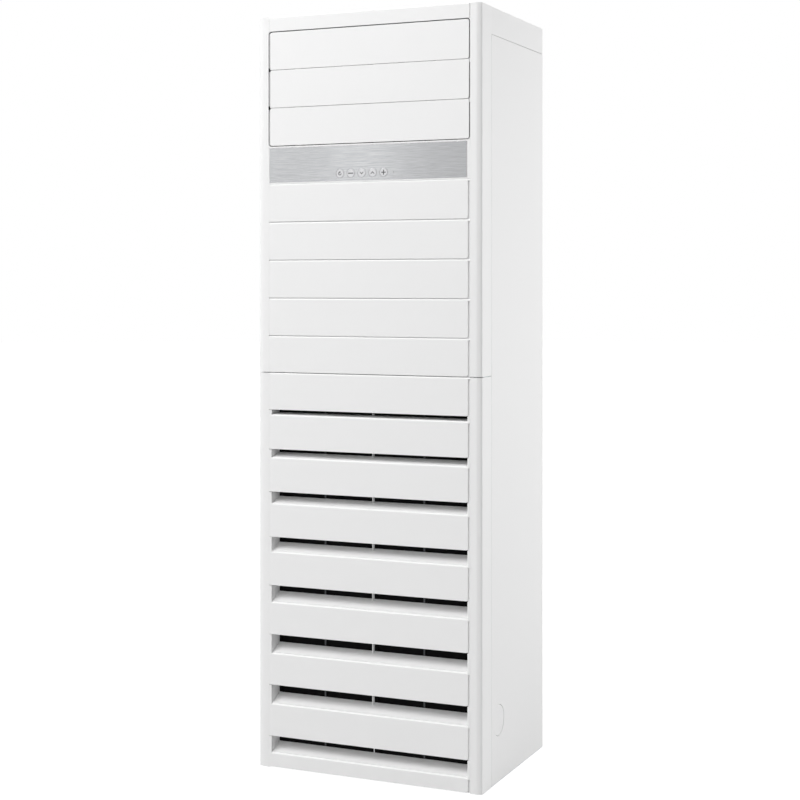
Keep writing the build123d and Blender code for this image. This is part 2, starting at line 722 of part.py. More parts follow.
def scroll_housing_front():
    """Front half of the blower housing, with the round inlet."""
    low, high = scroll_y()
    middle = (low + high) / 2
    half = scroll_plate(low, low + SCROLL_T) + scroll_shell(low + SCROLL_T, middle)
    left, right = throat_x()
    rim = ((left - 12, right + 10), (low - 8, low), (PARTITION_Z - 2, PARTITION_Z))
    half += block(*rim)
    return half - y_rod(WHEEL_X, (low - 1, low + 5), WHEEL_Z, INLET_R + INLET_BELL + 1)


def scroll_housing_rear():
    """Rear half of the blower housing, which carries the motor."""
    low, high = scroll_y()
    middle = (low + high) / 2
    half = scroll_plate(high - SCROLL_T, high) + scroll_shell(middle, high - SCROLL_T)
    left, right = throat_x()
    half += block((left - 12, right + 10), (high, high + 8), (PARTITION_Z - 2, PARTITION_Z))
    return half - y_rod(WHEEL_X, (high - 5, high + 1), WHEEL_Z, SHAFT_R * 3)


def inlet_ring():
    """Bell-mouthed ring that leads the air into the wheel."""
    face = scroll_y()[0]
    bell = INLET_BELL
    lip = MOULDING
    outer_r = INLET_R + bell
    half = 1 - sin(radians(45))
    deep = face - lip + bell
    start = (outer_r, face - lip, 0)
    throat = (INLET_R, deep, 0)
    first = ThreePointArc(start, (INLET_R + bell * half, face - lip + bell * half, 0), throat)
    inner = bell - lip
    back = (INLET_R + lip, deep, 0)
    end = (outer_r, face, 0)
    between = (INLET_R + lip + inner * half, face + inner * half, 0)
    outline = first + Line(throat, back) + ThreePointArc(back, between, end)
    rim_r = outer_r + 22
    outline += Polyline(end, (rim_r, face, 0), (rim_r, face - lip, 0), start)
    return Pos(WHEEL_X, 0, WHEEL_Z) * revolve(make_face(outline), Axis.Y)


def wheel_y():
    """Return the front and rear of the blower wheel."""
    low, high = scroll_y()
    rear = high - SCROLL_T - 22
    return (rear - WHEEL_W, rear)


def blower_wheel():
    """Centrifugal wheel: back disc, hub, front ring and forward curved blades."""
    front, rear = wheel_y()
    wheel = y_rod(0, (rear - 2.5, rear), 0, WHEEL_R)
    wheel += y_rod(0, (rear - 30, rear + 12), 0, SHAFT_R + 14)
    ring = y_rod(0, (front, front + 6), 0, WHEEL_R)
    wheel += ring - y_rod(0, (front - 1, front + 7), 0, WHEEL_R - 16)
    inner = (WHEEL_R - BLADE_DEPTH, front + 1, 0)
    outer_r = WHEEL_R - 1.5
    outer = (outer_r * cos(radians(7)), front + 1, outer_r * sin(radians(7)))
    bow = (WHEEL_R - BLADE_DEPTH * 0.42, front + 1, 4.2)
    bow_rear = (bow[0] - BLADE_T * 0.7, front + 1, bow[2] + BLADE_T * 0.7)
    inner_rear = (inner[0], front + 1, BLADE_T)
    outer_rear = (outer[0] - BLADE_T, front + 1, outer[2] + BLADE_T * 0.4)
    outline = ThreePointArc(inner, bow, outer) + Line(outer, outer_rear)
    outline += ThreePointArc(outer_rear, bow_rear, inner_rear) + Line(inner_rear, inner)
    blade = extrude(make_face(outline), amount=WHEEL_W - 2, dir=(0, 1, 0))
    step = 360 / BLADE_COUNT
    wheel += [Rot(0, step * i, 0) * blade for i in range(BLADE_COUNT)]
    wheel -= y_rod(0, (rear - 40, rear + 20), 0, SHAFT_R)
    return Pos(WHEEL_X, 0, WHEEL_Z) * wheel


def motor_y():
    """Return the front and rear of the blower motor."""
    front = scroll_y()[1] + BRACKET_T
    return (front, BACK_PANEL_Y - MOTOR_GAP)


def shaft_end():
    """Return where the shaft ends inside the motor."""
    front, rear = motor_y()
    return front + 0.75 * (rear - front)


def motor_shaft():
    """Shaft from inside the motor to the wheel's hub."""
    return y_rod(WHEEL_X, (wheel_y()[1] - 30, shaft_end()), WHEEL_Z, SHAFT_R)


def fan_motor():
    """Blower motor with a finned rear cap."""
    front, rear = motor_y()
    motor = y_rod(WHEEL_X, (front, rear - 12), WHEEL_Z, MOTOR_R)
    motor += y_rod(WHEEL_X, (rear - 12, rear), WHEEL_Z, MOTOR_R - 12)
    bore = (front - 1, shaft_end() + 1)
    return motor - y_rod(WHEEL_X, bore, WHEEL_Z, SHAFT_R + FIT)


def motor_bracket():
    """Four-armed plate between the motor and the housing."""
    low = scroll_y()[1]
    span = (low, low + BRACKET_T)
    plate = y_rod(WHEEL_X, span, WHEEL_Z, MOTOR_R + 8)
    for turn in (45, -45):
        arm = Box(2 * (MOTOR_R + BRACKET_REACH), BRACKET_T, BRACKET_W)
        plate += Pos(WHEEL_X, low + BRACKET_T / 2, WHEEL_Z) * Rot(0, turn, 0) * arm
    return plate - y_rod(WHEEL_X, (low - 1, low + BRACKET_T + 1), WHEEL_Z, SHAFT_R * 2.5)


# ------------------------------------------------------------------------------- cooling
def coil_place():
    """Return the placement of the sloping coil; its own axes are width, depth and length."""
    corner = Pos(0, FRONT + COIL_FRONT, PARTITION_Z + BASE_T + COIL_LIFT)
    return corner * Rot(-COIL_TILT, 0, 0)


def tube_places():
    """Return the coil's tube rows as (depth, length) pairs, front row first."""
    first = (COIL_T - ROW_PITCH) / 2
    along = [TUBE_PITCH * (i + 0.5) for i in range(TUBE_ROWS)]
    return [[(first + ROW_PITCH * row, v) for v in along] for row in (0, 1)]


def tube_holes(x, clearance):
    """Return the bars that cut the tube holes through a piece of the coil."""
    holes = []
    for row in tube_places():
        for u, v in row:
            holes.append(x_rod(x, u, v, TUBE_R + clearance))
    return holes


def evaporator_fins():
    """Fin pack of the coil, as one block with its tube holes."""
    half = COIL_W / 2
    fins = block((-half, half), (0, COIL_T), (0, COIL_L))
    return coil_place() * (fins - tube_holes((-half - 1, half + 1), 0.05))


def evaporator_end_plates():
    """Two end plates of the coil, which stand on the drain pan."""
    half = COIL_W / 2
    plate = block((half, half + BASE_T), (-3, COIL_T + 3), (-12, COIL_L + 6))
    plate -= tube_holes((half - 1, half + BASE_T + 1), 0.05)
    plate = coil_place() * plate
    under = block((0, half + 10), (FRONT, BACK), (0, PARTITION_Z + BASE_T + PAN_T))
    return pair(plate - under)


def tube_bend(place, toward, out, radius):
    """Return a half ring of tube of one radius between two neighbouring tubes."""
    (u0, v0), (u1, v1) = place, toward
    middle = ((u0 + u1) / 2, (v0 + v1) / 2)
    ring = Torus(((u1 - u0) ** 2 + (v1 - v0) ** 2) ** 0.5 / 2, radius)
    ring = Rot(90, 0, 0) * ring if u0 == u1 else ring
    half = block((0, 100), (-100, 100), (-100, 100))
    ring = ring & half
    if out < 0:
        ring = Rot(0, 0, 180) * ring
    return Pos(out, *middle) * ring


def tube_run(radius, extra):
    """Return the coil's whole run of tube as a solid of one radius."""
    end = tube_end()
    front, rear = tube_places()
    pieces = [x_rod((-end, end + extra), u, v, radius) for u, v in (front[0], rear[0])]
    pieces += [x_rod((-end, end), u, v, radius) for u, v in front[1:] + rear[1:]]
    for row in (front, rear):
        for i in range(TUBE_ROWS - 1):
            out = -end if i % 2 == 0 else end
            pieces.append(tube_bend(row[i], row[i + 1], out, radius))
    pieces.append(tube_bend(front[-1], rear[-1], end, radius))
    return pieces[0].fuse(*pieces[1:])


def evaporator_tubes():
    """One copper tube that runs up the front row and down the rear row."""
    return coil_place() * (tube_run(TUBE_R, 0) - tube_run(TUBE_R - TUBE_WALL, 1))


def tube_end():
    """Return how far the straight tubes reach from the middle plane."""
    return COIL_W / 2 + BASE_T + 5


def pipe_starts():
    """Return the open ends of the coil's tube: liquid line, then suction line."""
    end = tube_end()
    front, rear = tube_places()
    ends = []
    for u, v in (front[0], rear[0]):
        ends.append((coil_place() * Pos(end, u, v)).position)
    return ends


def refrigerant_pipes():
    """Liquid and suction pipes down the right side, each ending in a flare nut."""
    pipes = Part()
    for start, radius, bend in zip(pipe_starts(), (TUBE_R, SUCTION_R), (14, 18)):
        corner = (PIPE_X, start.Y, start.Z)
        end = (PIPE_X, start.Y, PIPE_END_Z)
        path = FilletPolyline(start, corner, end, radius=bend)
        across = Plane(origin=start, z_dir=(1, 0, 0))
        section = across * (Circle(radius) - Circle(radius - TUBE_WALL))
        collar = across * (Circle(radius) - Circle(TUBE_R - TUBE_WALL))
        pipes += sweep(section, path=path) + extrude(collar, amount=COLLAR_L)
        nut = extrude(Plane.XY * RegularPolygon(radius + 4.5, 6), amount=20)
        nut = Pos(PIPE_X, start.Y, PIPE_END_Z) * (nut - Cylinder(radius, 100))
        pipes += nut
    return pipes


def pan_y():
    """Return the front and rear of the drain pan."""
    return (POST_BACK + 2, POST_BACK + 2 + PAN_D)


def drain_place():
    """Return where the drain pan empties."""
    return (PAN_W / 2 - 14, pan_y()[0] + 14)


def drain_pan():
    """Tray under the coil, with a spout through the partition plate."""
    floor = PARTITION_Z + BASE_T
    x = (-PAN_W / 2, PAN_W / 2)
    pan = block(x, pan_y(), (floor, floor + PAN_H))
    inner_y = (pan_y()[0] + PAN_T, pan_y()[1] - PAN_T)
    pan -= block((x[0] + PAN_T, x[1] - PAN_T), inner_y, (floor + PAN_T, floor + PAN_H + 1))
    u, v = drain_place()
    pan += z_rod(u, v, (floor - SPOUT_L, floor + 1), HOSE_BORE)
    return pan - z_rod(u, v, (floor - SPOUT_L - 1, floor + PAN_T + 1), HOSE_BORE - PAN_T)


def drain_hose():
    """Soft hose from the pan's spout down towards the knock-out."""
    x, y = drain_place()
    points = [(x, y, PARTITION_Z)]
    points += [(x + across, y + back, PARTITION_Z - drop) for across, back, drop in HOSE_WAY]
    path = FilletPolyline(*points, radius=HOSE_BEND_R)
    section = Plane(origin=points[0], z_dir=(0, 0, -1)) * Circle(HOSE_R)
    bore = Plane(origin=points[0], z_dir=(0, 0, -1)) * Circle(HOSE_BORE)
    return sweep(section, path=path) - sweep(bore, path=path)


# ------------------------------------------------------------------------------- control box
def box_y():
    """Return the front and rear of the control box."""
    rear = POST_BACK - BASE_T
    return (rear - BOX_D, rear)


def box_z():
    """Return the floor and roof of the control box."""
    low = PARTITION_Z + BOX_LIFT
    return (low, low + BOX_H)


def control_box():
    """Sheet metal box, open to the front, with ears on the posts."""
    low, high = box_z()
    x = (-BOX_W / 2, BOX_W / 2)
    box = block(x, box_y(), (low, high))
    inner_y = (box_y()[0] - 1, box_y()[1] - BOX_T)
    box -= block((x[0] + BOX_T, x[1] - BOX_T), inner_y, (low + BOX_T, high - BOX_T))
    ear = block((BOX_W / 2, PANEL_X - 5), (box_y()[1] - BOX_T, box_y()[1]), (low + 20, high - 20))
    return box + pair(ear)


def control_box_lid():
    """Flat lid on the front of the control box."""
    low, high = box_z()
    return block((-BOX_W / 2, BOX_W / 2), (box_y()[0] - BOX_T, box_y()[0]), (low, high))


def main_board():
    """Main circuit board on its spacers, with its larger parts."""
    low, high = box_z()
    rear = box_y()[1] - BOX_T
    face = rear - BOARD_LIFT
    left = BOARD_LEFT - BOX_W / 2
    z = (low + BOARD_EDGE, high - BOARD_EDGE)
    board = block((left, left + BOARD_W), (face - BOARD_T, face), z)
    for x in (left + BOARD_FOOT, left + BOARD_W - BOARD_FOOT):
        for height in (z[0] + BOARD_FOOT, z[1] - BOARD_FOOT):
            board += y_rod(x, (face - 0.5, rear), height, 3.5)
    for across, up, width, height, depth in BOARD_PARTS:
        x = (left + across, left + across + width)
        board += block(x, (face - depth, face - 1), (z[0] + up, z[0] + up + height))
    across, up, radius, depth = CAPACITOR
    return board + y_rod(left + across, (face - depth, face - 1), z[0] + up, radius)


# ------------------------------------------------------------------------------- lower front
def slot_places():
    """Return each slot's lower front edge, height and rise, the slats filling the grille's height."""
    room = GRILLE_TOP - FLOOR_GAP - sum(slot[0] for slot in SLOTS)
    stretch = room / (TOP_SLAT + sum(slot[2] for slot in SLOTS))
    low = GRILLE_TOP - stretch * TOP_SLAT
    places = []
    for height, rise, slat in SLOTS:
        low -= height
        places.append((low, height, rise))
        low -= stretch * slat
    return places


def inlet_grille():
    """Moulded panel with eight slots that grow taller downwards, and filter rails behind."""
    half = OPENING - 1.5 * SEAM
    slot_half = half - SLOT_MARGIN
    rear = FRONT + GRILLE_D
    panel = block((-half, half), (FRONT, FRONT + MOULDING + 2), (FLOOR_GAP, GRILLE_TOP))
    edge = panel.edges().filter_by(Axis.X).sort_by_distance((0, FRONT, FLOOR_GAP))[0]
    panel = fillet(edge, GRILLE_EDGE_R)
    for low, height, rise in slot_places():
        wall = SLOT_WALL
        outer = [(FRONT + 1, low - wall), (rear, low + rise - wall)]
        outer += [(rear, low + height + wall), (FRONT + 1, low + height + wall)]
        panel += x_prism(outer, (-slot_half - wall, slot_half + wall))
    for low, height, rise in slot_places():
        tilt = rise / GRILLE_D
        inner = [(FRONT - 2, low - 2 * tilt), (rear + 2, low + rise + 2 * tilt)]
        inner += [(rear + 2, low + height), (FRONT - 2, low + height)]
        panel -= x_prism(inner, (-slot_half, slot_half))
    rib_low = slot_places()[-2][0]
    panel += block((-SLOT_RIB_W / 2, SLOT_RIB_W / 2), (rear - SLOT_RIB_D, rear), (rib_low, FILTER_TOP))
    behind = rear + FILTER_T + 2 * CLEAR
    stem = block((-SLOT_RIB_W / 2, SLOT_RIB_W / 2), (rear, behind + 1.6), (FILTER_LOW - 4, FILTER_TOP))
    panel += stem + block((-9, 9), (behind, behind + 1.6), (FILTER_LOW - 4, FILTER_TOP))
    side = block((half - 2.4, half), (FRONT + 2, behind + 1.6), (FILTER_LOW - 4, FILTER_TOP))
    side += block((half - 12, half), (behind, behind + 1.6), (FILTER_LOW - 4, FILTER_TOP))
    panel += pair(side)
    foot = FILTER_LOW - CLEAR
    panel += block((-half, half), (rear - 1, behind + 1.6), (foot - 2, foot))
    pin = x_rod((half - 6, OPENING + MOULDING), FRONT + GRILLE_PIN_Y, GRILLE_PIN_Z, GRILLE_PIN_R)
    pin += block((half - 6, half), (FRONT + 2, FRONT + 13), (FLOOR_GAP + 3, GRILLE_PIN_Z + 8))
    return panel + pair(pin)


def filter_right():
    """Air filter: frame, ribs and mesh moulded together."""
    rear = FRONT + GRILLE_D
    y = (rear + CLEAR, rear + CLEAR + FILTER_T)
    x = (SLOT_RIB_W / 2 + CLEAR, OPENING - 1.5 * SEAM - 2.4 - CLEAR)
    z = (FILTER_LOW, FILTER_TOP)
    frame = block(x, y, z)
    inner_x = (x[0] + FILTER_BAR, x[1] - FILTER_BAR)
    frame -= block(inner_x, (y[0] - 1, y[1] + 1), (z[0] + FILTER_BAR, z[1] - FILTER_BAR))
    middle = (x[0] + x[1]) / 2
    frame += block((middle - FILTER_RIB / 2, middle + FILTER_RIB / 2), y, (z[0] + 1, z[1] - 1))
    for height in evenly(z[0], z[1], FILTER_RIBS + 2)[1:-1]:
        bar = (height - FILTER_RIB / 2, height + FILTER_RIB / 2)
        frame += block((x[0] + 1, x[1] - 1), (y[0] + 2, y[1] - 1), bar)
    mesh_y = (y[1] - 3, y[1] - 3 + FILTER_MESH)
    return frame + block((x[0] + 1, x[1] - 1), mesh_y, (z[0] + 1, z[1] - 1))


def build():
    """Return every piece under its name."""
    pieces = {
        "base_pan": base_pan(),
        "right_side_panel": right_side_panel(),
        "knockout_discs": knockout_discs(),
        "back_panel": back_panel(),
        "top_cover": top_cover(),
        "cabinet_screws": cabinet_screws(),
        "front_posts": front_posts(),
        "partition_plate": partition_plate(),
        "cable_bush": cable_bush(),
        "upper_right_column": upper_right_column(),
        "lower_right_column": lower_right_column(),
        "top_strip": top_strip(),
        "stripe_panel": stripe_panel(),
        "control_band": control_band(),
        "status_led": status_led(),
        "display_board": display_board(),
        "outlet_duct": outlet_duct(),
        "vane_link": vane_link(),
        "vane_motor": vane_motor(),
        "louvre_link": louvre_link(),
        "louvre_motor": louvre_motor(),
        "scroll_housing_front": scroll_housing_front(),
        "scroll_housing_rear": scroll_housing_rear(),
        "inlet_ring": inlet_ring(),
        "blower_wheel": blower_wheel(),
        "motor_shaft": motor_shaft(),
        "fan_motor": fan_motor(),
        "motor_bracket": motor_bracket(),
        "evaporator_fins": evaporator_fins(),
        "evaporator_tubes": evaporator_tubes(),
        "evaporator_end_plates": evaporator_end_plates(),
        "refrigerant_pipes": refrigerant_pipes(),
        "drain_pan": drain_pan(),
        "drain_hose": drain_hose(),
        "control_box": control_box(),
        "control_box_lid": control_box_lid(),
        "main_board": main_board(),
        "inlet_grille": inlet_grille(),
        "filter_right": filter_right(),
    }
    for right in ("right_side_panel", "upper_right_column", "lower_right_column", "filter_right"):
        pieces[right.replace("right", "left")] = mirror(pieces[right], about=Plane.YZ)
    for index, name in enumerate(KEY_NAMES):
        pieces[name] = key(index)
    for index, place in enumerate(("top", "middle", "bottom")):
        pieces["vane_" + place] = vane(index)
        pieces["vane_crank_" + place] = vane_crank(index)
    for index in range(LOUVRE_COUNT):
        pieces["louvre_%d" % (index + 1)] = louvre(index)
    return pieces


def main():
    """Write one STEP file for each piece."""
    os.makedirs("parts", exist_ok=True)
    for name, piece in build().items():
        export_step(piece, os.path.join("parts", name + ".step"))


main()
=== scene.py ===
"""Looks of a tall floor standing air conditioner, built round its fixed frame.

Metres, in the frame's own axes: +Z up, front towards -Y, origin on the floor under the middle
of the cabinet.  Every sub-assembly is a class that holds its sizes in millimetres, models its
pieces and dresses them, with modelling moves that are functions in millimetres too.  Pieces whose
plain shape is right keep their frame mesh and get a finish.
"""

from __future__ import annotations

import json
import logging
import math
from contextlib import contextmanager
from dataclasses import dataclass
from enum import Enum
from typing import Callable, Iterator, Sequence

import bmesh
import bpy
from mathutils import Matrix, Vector

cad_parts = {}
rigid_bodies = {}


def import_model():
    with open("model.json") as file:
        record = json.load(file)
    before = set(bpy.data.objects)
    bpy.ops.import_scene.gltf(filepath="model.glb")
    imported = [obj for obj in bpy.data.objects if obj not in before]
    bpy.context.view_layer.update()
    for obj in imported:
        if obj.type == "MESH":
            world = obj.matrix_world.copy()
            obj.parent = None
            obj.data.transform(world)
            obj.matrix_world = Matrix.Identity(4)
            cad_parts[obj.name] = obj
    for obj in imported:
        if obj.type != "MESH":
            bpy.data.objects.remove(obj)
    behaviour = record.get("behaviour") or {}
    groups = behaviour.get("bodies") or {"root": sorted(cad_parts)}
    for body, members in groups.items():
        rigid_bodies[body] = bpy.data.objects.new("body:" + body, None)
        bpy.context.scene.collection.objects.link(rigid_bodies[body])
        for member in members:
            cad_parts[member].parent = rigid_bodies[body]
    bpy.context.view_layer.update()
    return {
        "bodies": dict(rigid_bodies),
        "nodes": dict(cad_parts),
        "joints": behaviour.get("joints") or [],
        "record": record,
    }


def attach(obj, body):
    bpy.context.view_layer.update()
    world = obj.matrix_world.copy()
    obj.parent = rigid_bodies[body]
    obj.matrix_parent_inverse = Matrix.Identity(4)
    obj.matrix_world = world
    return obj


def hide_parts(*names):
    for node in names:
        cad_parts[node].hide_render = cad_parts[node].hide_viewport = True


LOG = logging.getLogger("scene")
MM = 0.001
Span = tuple[float, float]
Point = tuple[float, float, float]
Place = float | Span
Test = Callable[[Vector, Vector], bool]
Piece = bpy.types.Object
Tree = bpy.types.NodeTree
Socket = bpy.types.NodeSocket

# the frame's main sizes, in millimetres
HALF_W = 295.0
FRONT = -220.0
OPENING = 266.2            # half width between the columns
COLUMN_BACK = -152.3
SEAM_Z = 974.5
STRIP_Z = 1813.3
HEIGHT = 1850.0
MOULDING = 2.5             # wall of the front mouldings

SPARE = 1.0                # how far a cutting tool reaches past what it cuts
FAR = 1e4                  # past everything, as one end of a pair of limits
ROUND = 48                 # sides of a round hole or corner
SMALL_ROUND = 24
WHITE = (1.0, 1.0, 1.0, 1.0)


def near(value: float, target: float, slack: float = 0.05) -> bool:
    """Say whether two places agree within a small distance, in millimetres."""
    return abs(value - target) <= slack


def span(one: float, other: float) -> Span:
    """Return two places as a pair of limits, the lower one first."""
    return min(one, other), max(one, other)


def where(along: str = "", **places: Place) -> Test:
    """Make a test that takes edges or faces by their place.

    Args:
        along: the axis that an edge runs along or a face looks along, where it matters.
        places: x, y or z of the middle, each as one place or as two limits.
    Returns:
        The test.
    """

    def test(middle: Vector, way: Vector) -> bool:
        """Say whether one edge or face is taken."""
        if along and abs(getattr(way, along)) <= 0.9:
            return False
        for axis, place in places.items():
            value = getattr(middle, axis)
            if isinstance(place, tuple):
                inside = place[0] < value < place[1]
            else:
                inside = near(value, place)
            if not inside:
                return False
        return True

    return test


# ---- finishes
def linear(code: str) -> tuple[float, float, float, float]:
    """Turn an sRGB hex colour into linear RGBA.

    Args:
        code: six hex digits, with no leading mark.
    Returns:
        The linear red, green, blue and an alpha of 1.
    """
    values = [int(code[i:i + 2], 16) / 255 for i in (0, 2, 4)]
    parts = [v / 12.92 if v <= 0.04045 else ((v + 0.055) / 1.055) ** 2.4 for v in values]
    return (parts[0], parts[1], parts[2], 1.0)


def empty_tree(owner: bpy.types.Material | bpy.types.World) -> Tree:
    """Switch on a material's or world's nodes, and return its tree with nothing in it."""
    owner.use_nodes = True
    owner.node_tree.nodes.clear()
    return owner.node_tree


def add_node(
    tree: Tree,
    kind: str,
    settings: dict[str | int, object] | None = None,
    links: dict[str | int, Socket | bpy.types.Node] | None = None,
) -> bpy.types.Node:
    """Add one node with its settings and its incoming links.

    Args:
        tree: the node tree.
        kind: the node's type name, without the word ShaderNode before it.
        settings: input values by socket name or number, and plain properties by name.
        links: what feeds each input: a socket, or a node, which gives its first output.
    Returns:
        The new node.
    """
    node = tree.nodes.new("ShaderNode" + kind)
    for key, value in (settings or {}).items():
        if isinstance(key, str) and hasattr(node, key):
            setattr(node, key, value)
        else:
            node.inputs[key].default_value = value
    for key, source in (links or {}).items():
        if isinstance(source, bpy.types.Node):
            source = source.outputs[0]
        tree.links.new(source, node.inputs[key])
    return node


class Pattern(Enum):
    """How a finish varies over a surface."""

    GRAIN = "fine moulded grain"
    PEEL = "slightly wavy sprayed coat"
    BRUSHED = "hair lines along X"
    SPANGLE = "zinc crystals"
    FINS = "thin upright plates across X"
    NET = "square net in the XZ plane"


@dataclass(frozen=True)
class Finish:
    """A procedural finish: two close colours, a pattern of a real size and its relief."""

    name: str
    colour: str
    shade: str
    roughness: float
    pattern: Pattern
    size_mm: float
    relief_mm: float
    metallic: float = 0.0
    anisotropic: float = 0.0
    ior: float = 1.46
    spread: float = 0.06       # how far the roughness strays either way

    def build(self) -> bpy.types.Material:
        """Return the material, made once."""
        made = bpy.data.materials.get(self.name)
        if made is not None:
            return made
        material = bpy.data.materials.new(self.name)
        tree = empty_tree(material)
        place = add_node(tree, "TexCoord").outputs["Object"]
        value = self.pattern_value(tree, place)
        # a Mix node's colours are inputs 6 and 7, and its result is output 2
        colour = add_node(
            tree, "Mix",
            {"data_type": "RGBA", 6: linear(self.colour), 7: linear(self.shade)}, {0: value},
        )
        low, high = max(0.02, self.roughness - self.spread), self.roughness + self.spread
        rough = add_node(tree, "MapRange", {"To Min": low, "To Max": high}, {"Value": value})
        bump = add_node(
            tree, "Bump", {"Strength": 1.0, "Distance": self.relief_mm * MM}, {"Height": value}
        )
        shader = add_node(
            tree, "BsdfPrincipled",
            {"Metallic": self.metallic, "Anisotropic": self.anisotropic,
             "Anisotropic Rotation": 0.25},
            {"Base Color": colour.outputs[2], "Roughness": rough, "Normal": bump},
        )
        if self.metallic == 0:
            shader.inputs["IOR"].default_value = self.ior
        add_node(tree, "OutputMaterial", None, {"Surface": shader})
        return material

    def pattern_value(self, tree: Tree, place: Socket) -> Socket:
        """Add the nodes of the pattern.

        Args:
            tree: the material's node tree.
            place: the coordinates it follows.
        Returns:
            A socket that runs from 0 to 1.
        """
        scale = 1 / (self.size_mm * MM)
        if self.pattern is Pattern.BRUSHED:
            return self.hair_lines(tree, place, scale)
        if self.pattern is Pattern.SPANGLE:
            cells = add_node(tree, "TexVoronoi", {"Scale": scale}, {"Vector": place})
            return add_node(tree, "SeparateColor", None, {0: cells.outputs["Color"]}).outputs[0]
        if self.pattern is Pattern.FINS:
            return self.wave(tree, place, "X", scale)
        if self.pattern is Pattern.NET:
            bands = [self.wave(tree, place, axis, scale) for axis in ("X", "Z")]
            return add_node(
                tree, "Math", {"operation": "MAXIMUM"}, {0: bands[0], 1: bands[1]}
            ).outputs[0]
        detail = 4.0 if self.pattern is Pattern.GRAIN else 1.0
        return add_node(
            tree, "TexNoise", {"Scale": scale, "Detail": detail, "Roughness": 0.6},
            {"Vector": place},
        ).outputs[0]

    @staticmethod
    def hair_lines(tree: Tree, place: Socket, scale: float) -> Socket:
        """Add hair lines of two lengths that run along X.

        Args:
            tree: the material's node tree.
            place: the coordinates they follow.
            scale: how many fit across a metre.
        Returns:
            A socket that runs from 0 to 1.
        """
        lines = []
        for length in (70.0, 24.0):
            long_way = add_node(
                tree, "Mapping", {"Scale": (1 / length, 1.0, 1.0)}, {"Vector": place}
            )
            lines.append(
                add_node(tree, "TexNoise", {"Scale": scale, "Detail": 2.0}, {"Vector": long_way})
            )
        total = add_node(tree, "Math", {"operation": "ADD"}, {0: lines[0], 1: lines[1]})
        return add_node(
            tree, "MapRange", {"From Min": 0.7, "From Max": 1.3}, {"Value": total}
        ).outputs[0]

    @staticmethod
    def wave(tree: Tree, place: Socket, axis: str, scale: float) -> Socket:
        """Add even bands across one axis, a full wave in each size, and return their socket."""
        settings = {"bands_direction": axis, "Scale": scale * math.pi / 10, "Distortion": 0.0}
        return add_node(tree, "TexWave", settings, {"Vector": place}).outputs["Fac"]


